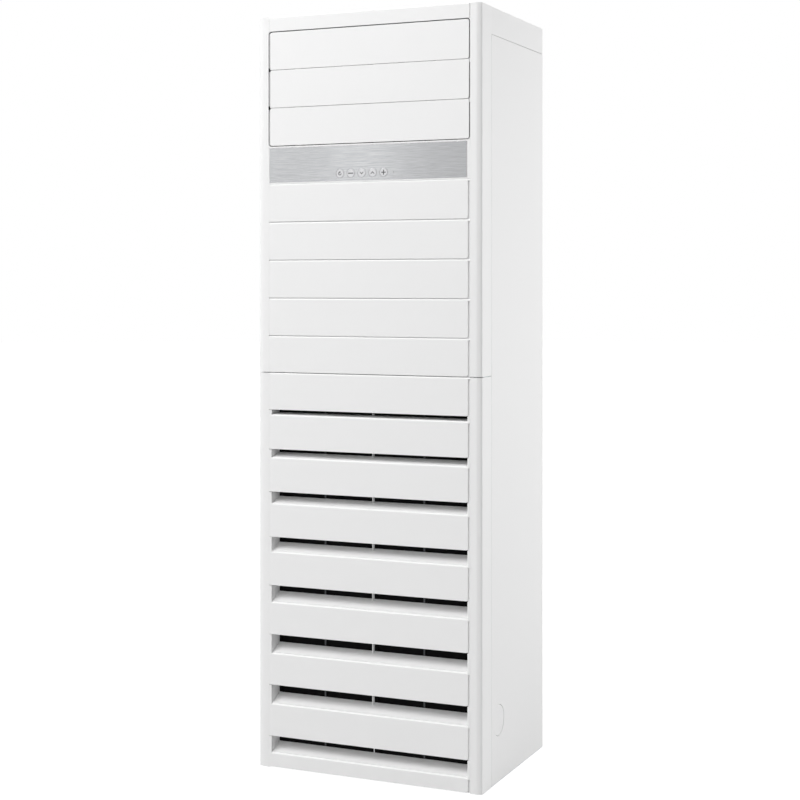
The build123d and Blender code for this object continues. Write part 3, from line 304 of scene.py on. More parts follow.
# what the material slots of the record look like
FINISHES = {
    # white ABS, injection moulded in a fine etched tool: soft sheen with no sharp reflections
    "front_plastic": Finish("white_abs", "F1F1F1", "EEEEEE", 0.38, Pattern.GRAIN, 0.9, 0.006),
    # powder coated steel: a touch duller than the mouldings, with faint orange peel
    "cabinet_paint": Finish(
        "white_powder_coat", "F0F0F0", "EDEDED", 0.46, Pattern.PEEL, 2.2, 0.012
    ),
    # aluminium, brushed along its length and clear lacquered: bright band with hair lines
    "band_metal": Finish(
        "brushed_aluminium", "B3B4B5", "9C9D9F", 0.24, Pattern.BRUSHED, 1.3, 0.004,
        metallic=1.0, anisotropic=0.6, spread=0.03,
    ),
    # lacquered ABS key caps: a lighter silver, smoother and with no hair lines
    "key_plastic": Finish(
        "key_silver_lacquer", "C8C8CA", "C0C0C2", 0.32, Pattern.GRAIN, 0.5, 0.002, metallic=0.9
    ),
    # clear polycarbonate lens over an unlit diode: smooth and shiny
    "lamp": Finish("lamp_lens", "ADAFB0", "A2A4A5", 0.12, Pattern.GRAIN, 1.0, 0.001, ior=1.58),
    # hot dip galvanised sheet: large dull crystals
    "galvanised": Finish(
        "galvanised_sheet", "B4B8BA", "9DA2A5", 0.42, Pattern.SPANGLE, 9.0, 0.002, metallic=1.0
    ),
    # zinc plated screws and ground shaft steel: bright and smooth
    "screw_steel": Finish(
        "plated_steel", "C4C4C2", "B2B2B0", 0.28, Pattern.GRAIN, 0.6, 0.002, metallic=1.0
    ),
    # satin enamel on the motor cans: dark, with faint orange peel
    "motor_steel": Finish("motor_enamel", "3A3B3D", "333436", 0.4, Pattern.PEEL, 1.6, 0.01),
    # grey ABS of the duct and pan: duller than the front mouldings
    # its grey is darker than the duct's own pale moulding: painted shade where the duct shows in
    # the grooves beside the vanes
    "duct_plastic": Finish("grey_abs", "8B8D8F", "838587", 0.5, Pattern.GRAIN, 0.9, 0.008),
    # light grey ABS of the louvres: a soft even sheen
    "louvre_plastic": Finish(
        "light_grey_abs", "CDCECE", "C6C7C7", 0.45, Pattern.GRAIN, 0.9, 0.006
    ),
    # natural acetal of cranks and links: creamy and slightly waxy
    "mechanism_plastic": Finish(
        "natural_acetal", "E6E4DC", "DFDDD4", 0.35, Pattern.GRAIN, 1.2, 0.003, ior=1.48
    ),
    # dark grey ABS of the blower's housing and the filters' ribs: coarse grain
    "housing_plastic": Finish("dark_housing", "4A4C4E", "424446", 0.55, Pattern.GRAIN, 1.4, 0.02),
    # glass filled black polypropylene of the wheel: half dull
    "wheel_plastic": Finish(
        "black_polypropylene", "1D1D1F", "17171A", 0.5, Pattern.GRAIN, 1.0, 0.01
    ),
    # black filter frame with a knitted net, drawn coarser than the real 0.5 mm so that it shows
    "filter_mesh": Finish("filter_net", "0C0C0D", "060607", 0.7, Pattern.NET, 1.6, 0.3, ior=1.2),
    # aluminium fin stock at its real pitch of about 1.6 mm, with darker bands of painted shade for
    # the gaps between the fins
    "fin_aluminium": Finish(
        "fin_stock", "D3D5D7", "7E8184", 0.35, Pattern.FINS, 1.6, 0.6, metallic=1.0
    ),
    # drawn copper tube, dulled by handling
    "copper": Finish(
        "drawn_copper", "B8714E", "A5623F", 0.3, Pattern.GRAIN, 6.0, 0.004, metallic=1.0
    ),
    # soft PVC of the drain hose: pale and slightly wavy
    "hose_plastic": Finish("pvc_hose", "C9C9C4", "BEBEB8", 0.5, Pattern.PEEL, 3.0, 0.02),
    # moulded rubber of the cable bush and the vanes' stops: black and dull
    # on the vanes' stops this black is also painted shade for the dark notches below the joints
    "rubber": Finish("black_rubber", "1A1A1A", "131313", 0.7, Pattern.GRAIN, 0.6, 0.01),
    # solder resist over woven glass laminate: glossy green that shows the weave
    "circuit_board": Finish("green_laminate", "1F5C36", "1A4F2E", 0.35, Pattern.NET, 0.9, 0.01),
}
# pad printed ink on the keys: flat and dark
INK = Finish("grey_symbol_ink", "2A2B2C", "242526", 0.5, Pattern.GRAIN, 0.3, 0.001)


# ---- bench
class Element(Enum):
    """What a selection takes, with its name in a mesh."""

    EDGE = "edges"
    FACE = "faces"


def only(obj: Piece) -> None:
    """Select one object alone and make it active.

    Args:
        obj: the object.
    """
    bpy.ops.object.select_all(action="DESELECT")
    obj.select_set(True)
    bpy.context.view_layer.objects.active = obj


def settle(obj: Piece) -> Piece:
    """Move an object's place, turn and scale into its mesh, and return it."""
    only(obj)
    bpy.ops.object.transform_apply(location=True, rotation=True, scale=True)
    return obj


def fresh(name: str) -> Piece:
    """Name the object just made, settle it and return it."""
    bpy.context.object.name = name
    return settle(bpy.context.object)


def block(name: str, x: Span, y: Span, z: Span) -> Piece:
    """Add a box.

    Args:
        name: its name.
        x: its left and right.
        y: its front and back.
        z: its lower and upper end.
    Returns:
        The box.
    """
    bpy.ops.object.select_all(action="DESELECT")
    bpy.ops.mesh.primitive_cube_add(
        size=1.0,
        location=[(low + high) / 2 * MM for low, high in (x, y, z)],
        scale=[(high - low) * MM for low, high in (x, y, z)],
    )
    return fresh(name)


def rod(name: str, start: Point, end: Point, radius: float, sides: int = ROUND) -> Piece:
    """Add a round bar.

    Args:
        name: its name.
        start: the middle of one end.
        end: the middle of the other end.
        radius: its radius.
        sides: how many flats go round it.
    Returns:
        The bar.
    """
    low, high = Vector(start) * MM, Vector(end) * MM
    along = high - low
    bpy.ops.object.select_all(action="DESELECT")
    bpy.ops.mesh.primitive_cylinder_add(
        vertices=sides, radius=radius * MM, depth=along.length, location=(low + high) / 2,
        rotation=along.to_track_quat("Z", "Y").to_euler(),
    )
    return fresh(name)


@contextmanager
def editing(obj: Piece, kind: Element = Element.FACE, test: Test | None = None) -> Iterator[bool]:
    """Hold an object in edit mode with some of it selected.

    Args:
        obj: the object.
        kind: edges, tested on middle and direction, or faces, on middle and normal.
        test: says what is selected, by places in millimetres; with none, all of it is.
    Returns:
        A context that says whether anything is selected.
    """
    only(obj)
    bpy.ops.object.mode_set(mode="EDIT")
    if test is None:
        bpy.ops.mesh.select_all(action="SELECT")
        yield True
    else:
        bpy.ops.mesh.select_mode(type=kind.name)
        bpy.ops.mesh.select_all(action="DESELECT")
        mesh = bmesh.from_edit_mesh(obj.data)
        taken = False
        for item in getattr(mesh, kind.value):
            if kind is Element.EDGE:
                a, b = (v.co for v in item.verts)
                middle, way = (a + b) / 2 / MM, (b - a).normalized()
            else:
                middle, way = item.calc_center_median() / MM, item.normal
            if test(middle, way):
                item.select_set(True)
                taken = True
        bmesh.update_edit_mesh(obj.data)
        yield taken
    bpy.ops.object.mode_set(mode="OBJECT")


def bevel(obj: Piece, test: Test, width: float, segments: int = 3, profile: float = 0.5) -> None:
    """Round edges.

    Args:
        obj: the object.
        test: says which edges.
        width: how far the rounding reaches.
        segments: how many steps it has.
        profile: 0.25 makes it flat and 0.5 makes it an arc.
    """
    with editing(obj, Element.EDGE, test) as taken:
        if taken:
            bpy.ops.mesh.bevel(
                offset=width * MM, segments=segments, affect="EDGES", profile=profile,
                clamp_overlap=True,
            )


def open_up(obj: Piece, test: Test) -> None:
    """Delete the faces that pass a test."""
    with editing(obj, Element.FACE, test) as taken:
        if taken:
            bpy.ops.mesh.delete(type="FACE")


def push(obj: Piece, test: Test, move: Point) -> None:
    """Extrude the faces that pass a test by a distance."""
    with editing(obj, Element.FACE, test) as taken:
        if taken:
            bpy.ops.mesh.extrude_region_move(
                TRANSFORM_OT_translate={"value": [v * MM for v in move]}
            )


def split(obj: Piece, axis: str, place: float, trim: bool = False) -> None:
    """Cut an object's faces along a plane across one axis.

    Args:
        obj: the object.
        axis: x, y or z.
        place: where the plane crosses the axis.
        trim: whether what lies before the plane goes and the cut is closed.
    """
    way = [float(axis == name) for name in "xyz"]
    point = [place * MM * part for part in way]
    with editing(obj):
        bpy.ops.mesh.bisect(plane_co=point, plane_no=way, use_fill=trim, clear_inner=trim)


def wall(obj: Piece, thickness: float) -> None:
    """Give an open skin its wall.

    Args:
        obj: the skin.
        thickness: how far the wall reaches inwards.
    """
    only(obj)
    solid = obj.modifiers.new("wall", "SOLIDIFY")
    solid.thickness = thickness * MM
    solid.offset = -1.0
    solid.use_even_offset = True
    bpy.ops.object.modifier_apply(modifier=solid.name)


def cut(obj: Piece, tools: Sequence[Piece]) -> Piece:
    """Take other solids away from an object.

    Args:
        obj: the object.
        tools: the solids, which are used up.
    Returns:
        The object.
    """
    for tool in tools:
        only(obj)
        knife = obj.modifiers.new("cut", "BOOLEAN")
        knife.operation = "DIFFERENCE"
        knife.solver = "EXACT"
        knife.object = tool
        bpy.ops.object.modifier_apply(modifier=knife.name)
        bpy.data.objects.remove(tool)
    return obj


def wedge(corner: Span, way: tuple[int, int], radius: float, y: Span, spare: float = 0.0) -> Piece:
    """Model what lies between a square corner and a round one.

    Args:
        corner: x and z of the square corner.
        way: 1 or -1 along x and along z, from the corner towards the middle.
        radius: the round corner's radius.
        y: the wedge's front and back.
        spare: how far it reaches out past the square corner.
    Returns:
        The wedge.
    """
    x, z = (span(c - w * spare, c + w * radius) for c, w in zip(corner, way))
    piece = block("corner", x, y, z)
    mid_x, mid_z = (c + w * radius for c, w in zip(corner, way))
    ball = rod("round", (mid_x, y[0] - SPARE, mid_z), (mid_x, y[1] + SPARE, mid_z), radius)
    return cut(piece, [ball])


def join(name: str, parts: Sequence[Piece]) -> Piece:
    """Join several objects.

    Args:
        name: the name of the whole.
        parts: the objects.
    Returns:
        The whole.
    """
    only(parts[0])
    for part in parts:
        part.select_set(True)
    bpy.ops.object.join()
    parts[0].name = name
    return parts[0]


def copy(obj: Piece, name: str) -> Piece:
    """Copy an object with its own mesh."""
    only(obj)
    bpy.ops.object.duplicate()
    return fresh(name)


def mirror(obj: Piece, name: str) -> Piece:
    """Copy an object to the other side of the middle plane.

    Args:
        obj: the object.
        name: the copy's name.
    Returns:
        The copy, with its faces outwards.
    """
    twin = copy(obj, name)
    twin.scale = (-1.0, 1.0, 1.0)
    settle(twin)
    mesh = bmesh.new()
    mesh.from_mesh(twin.data)
    if mesh.calc_volume(signed=True) < 0:
        bmesh.ops.reverse_faces(mesh, faces=mesh.faces)
        mesh.to_mesh(twin.data)
    mesh.free()
    return twin


def dress(
    obj: Piece, body: str, slot: str, nodes: Sequence[str] = (), finish: Finish | None = None
) -> None:
    """Shade, paint and hang a finished piece.

    Args:
        obj: the piece.
        body: the frame body that it moves with.
        slot: the material slot that it takes its finish from.
        nodes: the frame nodes that it stands for.
        finish: its finish, where that isn't the slot's own.
    """
    only(obj)
    bpy.ops.object.shade_smooth_by_angle(angle=math.radians(40))
    even = obj.modifiers.new("even", "WEIGHTED_NORMAL")
    even.keep_sharp = True
    even.weight = 100
    bpy.ops.object.modifier_apply(modifier=even.name)
    obj.data.materials.clear()
    obj.data.materials.append((finish or FINISHES[slot]).build())
    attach(obj, body)
    if nodes:
        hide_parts(*nodes)
    LOG.info("%s rides on %s, %d faces", obj.name, body, len(obj.data.polygons))


# ---- cabinet
@dataclass
class Columns:
    """The four moulded columns at the corners of the front, modelled on the right."""

    upper_lip: float = 4.5         # depth of the edge that turns in beside the opening
    lower_lip: float = 18.0
    foot_z: float = 0.5
    seam: float = 1.6
    upper_seam_r: float = 0.4
    lower_seam_r: float = 1.0
    edge_r: float = 0.6
    cap_r: float = 2.0
    corner: float = 6.0
    corner_reach: float = 14.0
    corner_profile: float = 0.38
    rear_r: float = 1.7
    skirt_z: float = 1784.0
    pin_r: float = 3.08
    pin_place: Span = (-212.0, 10.0)
    outlet: Span = (1531.1, 1814.9)
    rebate: float = 1.9
    rebate_depth: float = 3.4
    left_r: float = 7.6
    right_r: float = 7.0
    web: Span = (FRONT + 0.2, FRONT + 3.0)
    joints: tuple[float, ...] = (1719.8, 1626.2)
    tooth_x: Span = (OPENING - 1.7, OPENING + 0.5)
    tooth: Span = (-8.0, 1.6)
    stop_x: float = 1.9 - OPENING
    stop: Span = (-3.2, 4.8)
    stop_set: float = 0.6
    small_r: float = 0.4

    def shell(self, name: str, upper: bool, rebated: bool = False) -> Piece:
        """Model one right hand column.

        Args:
            name: the piece's name.
            upper: whether it stands on the seam, and is closed at its top.
            rebated: whether it is set back beside the outlet.
        Returns:
            The column.
        """
        seam_z = SEAM_Z + self.seam / 2 if upper else SEAM_Z - self.seam / 2
        z = (seam_z, HEIGHT) if upper else (self.foot_z, seam_z)
        column = block(name, (OPENING, HALF_W), (FRONT, COLUMN_BACK), z)
        bevel(column, where("z", x=HALF_W, y=FRONT), self.corner, 12, self.corner_profile)
        self.stretch(column)
        split(column, "z", self.skirt_z)
        below = (-FAR, self.skirt_z)
        bevel(column, where("z", x=HALF_W, y=COLUMN_BACK, z=below), self.rear_r, 2, 0.25)
        bevel(column, where("z", x=OPENING, y=FRONT), self.edge_r)
        if upper:
            bevel(column, where(x=(OPENING + self.edge_r, FAR), z=HEIGHT), self.cap_r)
        bevel(
            column, where(x=(OPENING + 0.5, FAR), y=(-FAR, COLUMN_BACK - 2), z=seam_z),
            self.upper_seam_r if upper else self.lower_seam_r,
        )
        if rebated:
            tool = block(
                "rebate", (OPENING - SPARE, OPENING + self.rebate),
                (FRONT - SPARE, FRONT + self.rebate_depth), self.outlet,
            )
            cut(column, [tool])
        behind = FRONT + (self.upper_lip if upper else self.lower_lip)
        split(column, "y", behind)
        open_up(
            column,
            lambda m, n: n.y > 0.9 or (n.z < -0.9 and near(m.z, z[0], 1.5))
            or (n.x < -0.9 and m.y > behind) or (n.z > 0.9 and not upper),
        )
        wall(column, MOULDING)
        return column

    def stretch(self, column: Piece) -> None:
        """Draw the rounding of the outer corner further in along the front.

        Args:
            column: the column, with a rounding that reaches as far both ways.
        """
        edge, reach = HALF_W * MM, (self.corner + 0.1) * MM
        for vertex in column.data.vertices:
            inwards = edge - vertex.co.x
            if inwards < reach and vertex.co.y < FRONT * MM + reach:
                vertex.co.x = edge - inwards * self.corner_reach / self.corner

    def build(self) -> None:
        """Model and dress the four columns and the vanes' stops, whose black is partly painted
        shade.
        """
        right = self.shell("upper_right_column_piece", True)
        low_right = self.shell("lower_right_column_piece", False)
        y, z = self.pin_place
        pin = rod("pin_hole", (OPENING - 2, y, z), (OPENING + 4, y, z), self.pin_r, 32)
        cut(low_right, [pin])
        low_left = mirror(low_right, "lower_left_column_piece")
        spare = self.shell("spare", True, rebated=True)
        depth = (self.web[0], FRONT + self.rebate_depth)
        spare = join("spare", [spare, *self.rounds(self.rebate, self.left_r, depth)])
        left = mirror(spare, "upper_left_column_piece")
        bpy.data.objects.remove(spare)
        parts = [right, *self.rounds(0.0, self.right_r, self.web)]
        parts += self.bits(self.tooth_x, self.web, self.tooth)
        right = join(right.name, parts)
        for piece in (right, left, low_right, low_left):
            node = piece.name.replace("_piece", "")
            dress(piece, "cabinet", "front_plastic", [node])
        self.build_shade_stops()

    def rounds(self, out: float, radius: float, y: Span) -> list[Piece]:
        """Model the outlet's two round corners at one side.

        Args:
            out: how far past the opening they start.
            radius: their radius.
            y: their front and back.
        Returns:
            The lower and the upper corner.
        """
        return [
            wedge((OPENING + out, z), (-1, way), radius, y)
            for z, way in zip(self.outlet, (1, -1))
        ]

    def bits(self, x: Span, y: Span, reach: Span) -> list[Piece]:
        """Model a small block beside each joint between vanes.

        Args:
            x: the blocks' left and right.
            y: their front and back.
            reach: their lower and upper end, from the joint.
        Returns:
            The blocks.
        """
        made = []
        for joint in self.joints:
            bit = block("bit", x, y, (joint + reach[0], joint + reach[1]))
            bevel(bit, where(x=(-FAR, OPENING), y=y[0]), self.small_r, 2)
            made.append(bit)
        return made

    def build_shade_stops(self) -> None:
        """Model the soft stop that each lower vane closes against, in the left rebate; its black
        rubber is also painted shade for the dark notch below each joint.
        """
        x = (-OPENING - self.rebate, self.stop_x)
        y = (FRONT + self.stop_set, FRONT + self.rebate_depth)
        for index, stop in enumerate(self.bits(x, y, self.stop)):
            stop.name = f"vane_stop_{index + 1}"
            # black finish: painted shade for the dark notch below each vane joint, as well as the
            # stop's rubber
            dress(stop, "cabinet", "rubber")


@dataclass
class TopCap:
    """The sheet cap over the cabinet and the moulded strip in front of it."""

    skirt_z: float = 1784.5
    cover_y: Span = (-152.25, 218.3)
    cover_t: float = 1.5
    cover_r: float = 2.0
    strip_x: Span = (-265.95, 265.0)
    strip_z: float = 1814.9
    strip_top_r: float = 2.0
    strip_low_r: float = 1.2

    def build(self) -> None:
        """Model and dress the cap and the strip."""
        front, back = self.cover_y
        cover = block("top_cover_piece", (-HALF_W, HALF_W), self.cover_y, (self.skirt_z, HEIGHT))
        bevel(
            cover,
            lambda m, way: (near(m.z, HEIGHT) and m.y > front + 1)
            or (abs(way.z) > 0.9 and near(m.y, back)),
            self.cover_r,
        )
        open_up(cover, lambda m, n: n.y < -0.9 or n.z < -0.9)
        wall(cover, self.cover_t)
        dress(cover, "cabinet", "cabinet_paint", ["top_cover"])
        strip = block(
            "top_strip_piece", self.strip_x, (FRONT, COLUMN_BACK), (self.strip_z, HEIGHT)
        )
        bevel(strip, where("x", y=FRONT, z=HEIGHT), self.strip_top_r, 4)
        bevel(strip, where("x", y=FRONT, z=self.strip_z), self.strip_low_r)
        open_up(strip, lambda m, n: n.y > 0.9 or n.z < -0.9 or abs(n.x) > 0.9)
        wall(strip, MOULDING)
        dress(strip, "cabinet", "front_plastic", ["top_strip"])


# ---- front pads
@dataclass(frozen=True)
class Pad:
    """A raised strip of the front.

    Its left end lies close against the column and falls back a little towards it.  Its right
    end stands clear of the column over a sunk groove, save for a short lip along its top, and
    its lower right corner is round.
    """

    half: float = 261.0
    lip_half: float = 266.1
    lip: float = 4.6
    corner_r: float = 5.5
    top_r: float = 3.6
    slope: Span = (3.6, 1.4)       # how far the left end's fall reaches, and how deep it is
    edge_r: float = 0.7
    groove: Span = (260.0, 265.6)
    groove_depth: float = 3.6
    groove_t: float = 1.5

    @property
    def sheet_right(self) -> float:
        """Return where the sheet under the strips ends, just inside the groove's floor."""
        return self.groove[0] + 0.1

    def floor(self, z: Span) -> Piece:
        """Model the floor of the groove at the right end, between two heights."""
        y = FRONT + self.groove_depth
        return block("floor", self.groove, (y, y + self.groove_t), z)

    def build(self, name: str, back: float, z: Span) -> Piece:
        """Model one strip.

        Args:
            name: its name.
            back: the place of its back.
            z: its lower and upper edge.
        Returns:
            The strip.
        """
        low, high = z
        neck = high - self.lip
        pad = block(name, (-self.lip_half, self.half), (FRONT, back), z)
        bevel(pad, where("y", x=(0.0, FAR), z=low), self.corner_r, 6)
        split(pad, "z", neck)
        reach = self.lip_half - self.half
        push(pad, lambda m, n: n.x > 0.9 and m.z > neck, (reach, 0.0, 0.0))
        bevel(pad, where("x", y=FRONT, z=high), self.top_r, 5)
        bevel(
            pad,
            lambda m, way: near(m.y, FRONT) and abs(way.y) < 0.1 and m.z < neck - 0.1
            and m.x > 2 - self.half,
            self.edge_r,
        )
        reach, drop = self.slope
        split(pad, "x", reach - self.lip_half)
        push(pad, lambda m, n: n.x < -0.9, (0.0, drop, 0.0))
        return pad


@dataclass
class StripePanel:
    """The panel of five raised stripes between the band and the seam."""

    half: float = 265.6
    edges: tuple[float, ...] = (974.8, 1065.4, 1158.1, 1251.5, 1345.1, 1439.7)
    joint: float = 1.3
    depth: float = 4.0
    sheet_t: float = 4.0
    overlap: float = 0.2
    pad: Pad = Pad()

    def build(self) -> None:
        """Model and dress the stripes and the sheet that carries them."""
        back = FRONT + self.depth
        whole = (self.edges[0], self.edges[-1])
        stripes = [
            self.pad.build(
                f"stripe_{index + 1}", back + self.overlap,
                (low + self.joint / 2, high - self.joint / 2),
            )
            for index, (low, high) in enumerate(zip(self.edges, self.edges[1:]))
        ]
        sheet = block(
            "stripe_sheet", (-self.half, self.pad.sheet_right), (back, back + self.sheet_t), whole
        )
        sheet = join("stripe_sheet", [sheet, self.pad.floor(whole)])
        for piece in (sheet, *stripes):
            dress(piece, "cabinet", "front_plastic", ["stripe_panel"])


@dataclass
class Vanes:
    """Three wide outlet vanes, flat in front and bellied behind.

    Round corners are named by their side along x and along z.
    """

    half: float = 263.7
    pitch: float = 93.533
    gap: float = 0.8
    belly: float = 13.0
    edge_t: float = 2.0
    pivot_r: float = 3.0
    pivot_reach: float = 1.5
    crank_reach: float = 8.0       # how far the middle pivot reaches out to its motor
    axis: float = 8.0
    corner_r: float = 5.6
    edge_r: float = 0.8
    end_wall: float = 7.0
    names: tuple[str, ...] = ("vane_top", "vane_middle", "vane_bottom")
    rounds: tuple[tuple[tuple[int, int], ...], ...] = (
        ((-1, 1), (1, 1), (1, -1)), ((-1, 1), (1, -1)), ((-1, 1), (-1, -1), (1, -1)),
    )

    def blade(self, z: float, rounds: Sequence[tuple[int, int]]) -> Piece:
        """Model a blade from a slice of a large cylinder.

        Args:
            z: the height of its middle.
            rounds: its round corners.
        Returns:
            The blade.
        """
        chord = (self.pitch - self.gap) / 2
        rise = self.belly - self.edge_t
        radius = (chord ** 2 + rise ** 2) / (2 * rise)
        centre_y = FRONT + self.belly - radius
        flat = FRONT + self.edge_t
        blade = rod("vane_blade", (-self.half, centre_y, z), (self.half, centre_y, z), radius, 128)
        split(blade, "y", flat, trim=True)
        push(blade, lambda m, n: n.y < -0.9, (0.0, -self.edge_t, 0.0))
        whole = (FRONT - SPARE, FRONT + self.belly + SPARE)
        tools = [
            wedge((side * self.half, z + up * chord), (-side, -up), self.corner_r, whole, SPARE)
            for side, up in rounds
        ]
        for side in (1, -1):
            x = span(side * (self.half - self.end_wall), side * (self.half + SPARE))
            tall = (z - chord - SPARE, z + chord + SPARE)
            tools.append(block("end", x, (flat, whole[1]), tall))
        cut(blade, tools)
        bevel(blade, where(y=FRONT), self.edge_r)
        return blade

    def build(self) -> None:
        """Model and dress the three vanes with their pivots."""
        y = FRONT + self.axis
        inner = self.end_wall + 1 - self.half
        for index, name in enumerate(self.names):
            z = STRIP_Z - self.pitch * (index + 0.5)
            reach = self.crank_reach if name == "vane_middle" else self.pivot_reach
            pivot = rod(
                "pivot", (-OPENING - reach, y, z), (inner, y, z), self.pivot_r, SMALL_ROUND
            )
            piece = join(name + "_piece", [self.blade(z, self.rounds[index]), pivot])
            dress(piece, name, "front_plastic", [name])


# ---- band
@dataclass(frozen=True)
class Glyph:
    """A generic sign on a key, measured from the key's middle."""

    body: str                                            # the frame body it rides on
    bars: tuple[tuple[float, float, float, float], ...]  # x and z of each bar's two ends
    stroke: float = 1.8
    ring_r: float = 0.0


class Symbol(Enum):
    """What is printed on each key, from the left."""

    POWER = Glyph("key_power", ((0.0, 1.0, 0.0, 5.0),), ring_r=3.6)
    MODE = Glyph("key_mode", ((-6.0, 0.0, 6.0, 0.0),), 2.4)
    DOWN = Glyph("key_down", ((-4.0, 2.0, 0.0, -2.4), (0.0, -2.4, 4.0, 2.0)))
    UP = Glyph("key_up", ((-4.0, -2.4, 0.0, 2.0), (0.0, 2.0, 4.0, -2.4)))
    FAN = Glyph(
        "key_fan",
        ((1.2, 0.0, 5.0, 0.0), (0.0, 1.2, 0.0, 5.0), (-1.2, 0.0, -5.0, 0.0),
         (0.0, -1.2, 0.0, -5.0)),
        2.2,
    )


@dataclass
class ControlBand:
    """Brushed band with five round keys and a small lamp."""

    x: Span = (-265.0, 259.3)
    frame_half: float = 266.1
    z: Span = (1439.0, 1531.1)
    margins: Span = (3.1, 3.6)     # white frame below the band, and above it
    sill_low: float = 1435.3
    sill_set: float = 2.2
    sill_t: float = 3.0
    face: float = FRONT + 0.4
    frame_front: float = FRONT + 0.1
    plate_t: float = 1.2
    slack: float = 0.1             # between the plate and its frame
    key_first: float = -72.0
    key_pitch: float = 29.0
    key_z: float = 1460.0
    key_r: float = 9.8
    key_gap: float = 0.6
    key_front: float = FRONT + 0.1
    key_t: float = 4.2
    flange: Span = (2.9, 1.5)      # how far behind the key's front it starts, and its reach
    lamp_x: float = 70.3
    lamp_r: float = 1.6
    lamp_t: float = 6.6
    ink: float = 0.06
    stroke_t: float = 0.1
    ring_turn: float = 300.0

    def build(self) -> None:
        """Model and dress the band, its frame, the keys and the lamp."""
        self.build_plate()
        for index, symbol in enumerate(Symbol):
            self.build_key(self.key_first + self.key_pitch * index, symbol.value)
        front = self.face - 0.1
        lamp = rod(
            "status_lamp", (self.lamp_x, front, self.key_z),
            (self.lamp_x, front + self.lamp_t, self.key_z), self.lamp_r, SMALL_ROUND,
        )
        bevel(lamp, where(y=front), 0.5)
        dress(lamp, "cabinet", "lamp", ["status_led"])

    def holes(self) -> list[Piece]:
        """Model the tools that bore the holes for the keys and the lamp, and return them."""
        bores = [
            (self.key_first + self.key_pitch * index, self.key_r + self.key_gap, ROUND)
            for index in range(len(Symbol))
        ]
        bores.append((self.lamp_x, self.lamp_r, SMALL_ROUND))
        y, z = (self.face - 5, self.face + 5), self.key_z
        return [rod("hole", (x, y[0], z), (x, y[1], z), r, sides) for x, r, sides in bores]

    def build_plate(self) -> None:
        """Model the brushed plate and the white frame that it is set in."""
        left, right = self.x
        low, high = self.z[0] + self.margins[0], self.z[1] - self.margins[1]
        plate_back = self.face + self.plate_t
        plate = block("brushed_plate", self.x, (self.face, plate_back), (low, high))
        bevel(plate, where("y"), 0.8)
        bevel(plate, where(y=self.face), 0.3, 2)
        tools = self.holes()
        backs = [copy(tool, "hole") for tool in tools]
        cut(plate, tools)
        dress(plate, "cabinet", "band_metal", ["control_band"])
        wide = (-self.frame_half, self.frame_half)
        frame = block("band_frame", wide, (self.frame_front, self.face + MOULDING), self.z)
        bevel(frame, where(y=self.frame_front, z=self.z[1]), 0.8)
        recess = block(
            "recess", (left - self.slack, right + self.slack), (self.face - 2, plate_back),
            (low - self.slack, high + self.slack),
        )
        cut(frame, [recess, *backs])
        top = low - self.slack
        sill = block("sill", wide, (FRONT, FRONT + self.sill_t), (self.sill_low, top))
        for vertex in sill.data.vertices:
            if near(vertex.co.y / MM, FRONT) and near(vertex.co.z / MM, top):
                vertex.co.y += self.sill_set * MM
        frame = join("band_frame", [frame, sill])
        dress(frame, "cabinet", "front_plastic", ["control_band"])

    def build_key(self, x: float, glyph: Glyph) -> None:
        """Model one key cap and the sign printed on it.

        Args:
            x: the key's place along the band.
            glyph: the sign.
        """
        name, front, z = glyph.body, self.key_front, self.key_z
        back = front + self.key_t
        cap = rod(name + "_cap", (x, front, z), (x, back, z), self.key_r, 64)
        bevel(cap, where(y=front), 0.7)
        depth, reach = self.flange
        flange = rod("flange", (x, front + depth, z), (x, back, z), self.key_r + reach)
        piece = join(name + "_piece", [cap, flange])
        dress(piece, name, "key_plastic", [name])
        y = front - self.ink
        strokes = [self.ring(x, y, glyph)] if glyph.ring_r else []
        for x0, z0, x1, z1 in glyph.bars:
            strokes.append(self.bar((x + x0, z + z0), (x + x1, z + z1), y, glyph.stroke))
        dress(join(name + "_symbol", strokes), name, "key_plastic", finish=INK)

    def bar(self, start: Span, end: Span, y: float, width: float) -> Piece:
        """Model a flat stroke with rounded ends.

        Args:
            start: x and z of one end.
            end: x and z of the other end.
            y: the front of the ink.
            width: the stroke's width.
        Returns:
            The stroke.
        """
        half = width / 2
        stroke = block(
            "stroke", (-half, math.dist(start, end) + half), (0.0, self.stroke_t), (-half, half)
        )
        bevel(stroke, where("y"), width * 0.45, 4)
        angle = math.atan2(end[1] - start[1], end[0] - start[0])
        stroke.rotation_euler = (0.0, -angle, 0.0)
        stroke.location = (start[0] * MM, y * MM, start[1] * MM)
        return settle(stroke)

    def ring(self, x: float, y: float, glyph: Glyph) -> Piece:
        """Model an open ring by spinning a stroke's end, with its gap at the top.

        Args:
            x: the key's place along the band.
            y: the front of the ink.
            glyph: the sign that the ring is in.
        Returns:
            The ring.
        """
        half, radius = glyph.stroke / 2, glyph.ring_r * MM
        ring = block("ring", (-half, half), (0.0, self.stroke_t), (0.0, 0.02))
        open_up(ring, lambda m, n: n.z < 0.9)
        with editing(ring):
            bpy.ops.mesh.spin(
                steps=28, angle=math.radians(self.ring_turn), center=(-radius, 0.0, 0.0),
                axis=(0.0, 1.0, 0.0),
            )
            bpy.ops.mesh.select_all(action="SELECT")
            bpy.ops.mesh.remove_doubles(threshold=1e-6)
            bpy.ops.mesh.normals_make_consistent(inside=False)
        ring.location = (radius, 0.0, 0.0)
        settle(ring)
        ring.rotation_euler = (0.0, math.radians(-90 + (360 - self.ring_turn) / 2), 0.0)
        ring.location = (x * MM, y * MM, self.key_z * MM)
        return settle(ring)


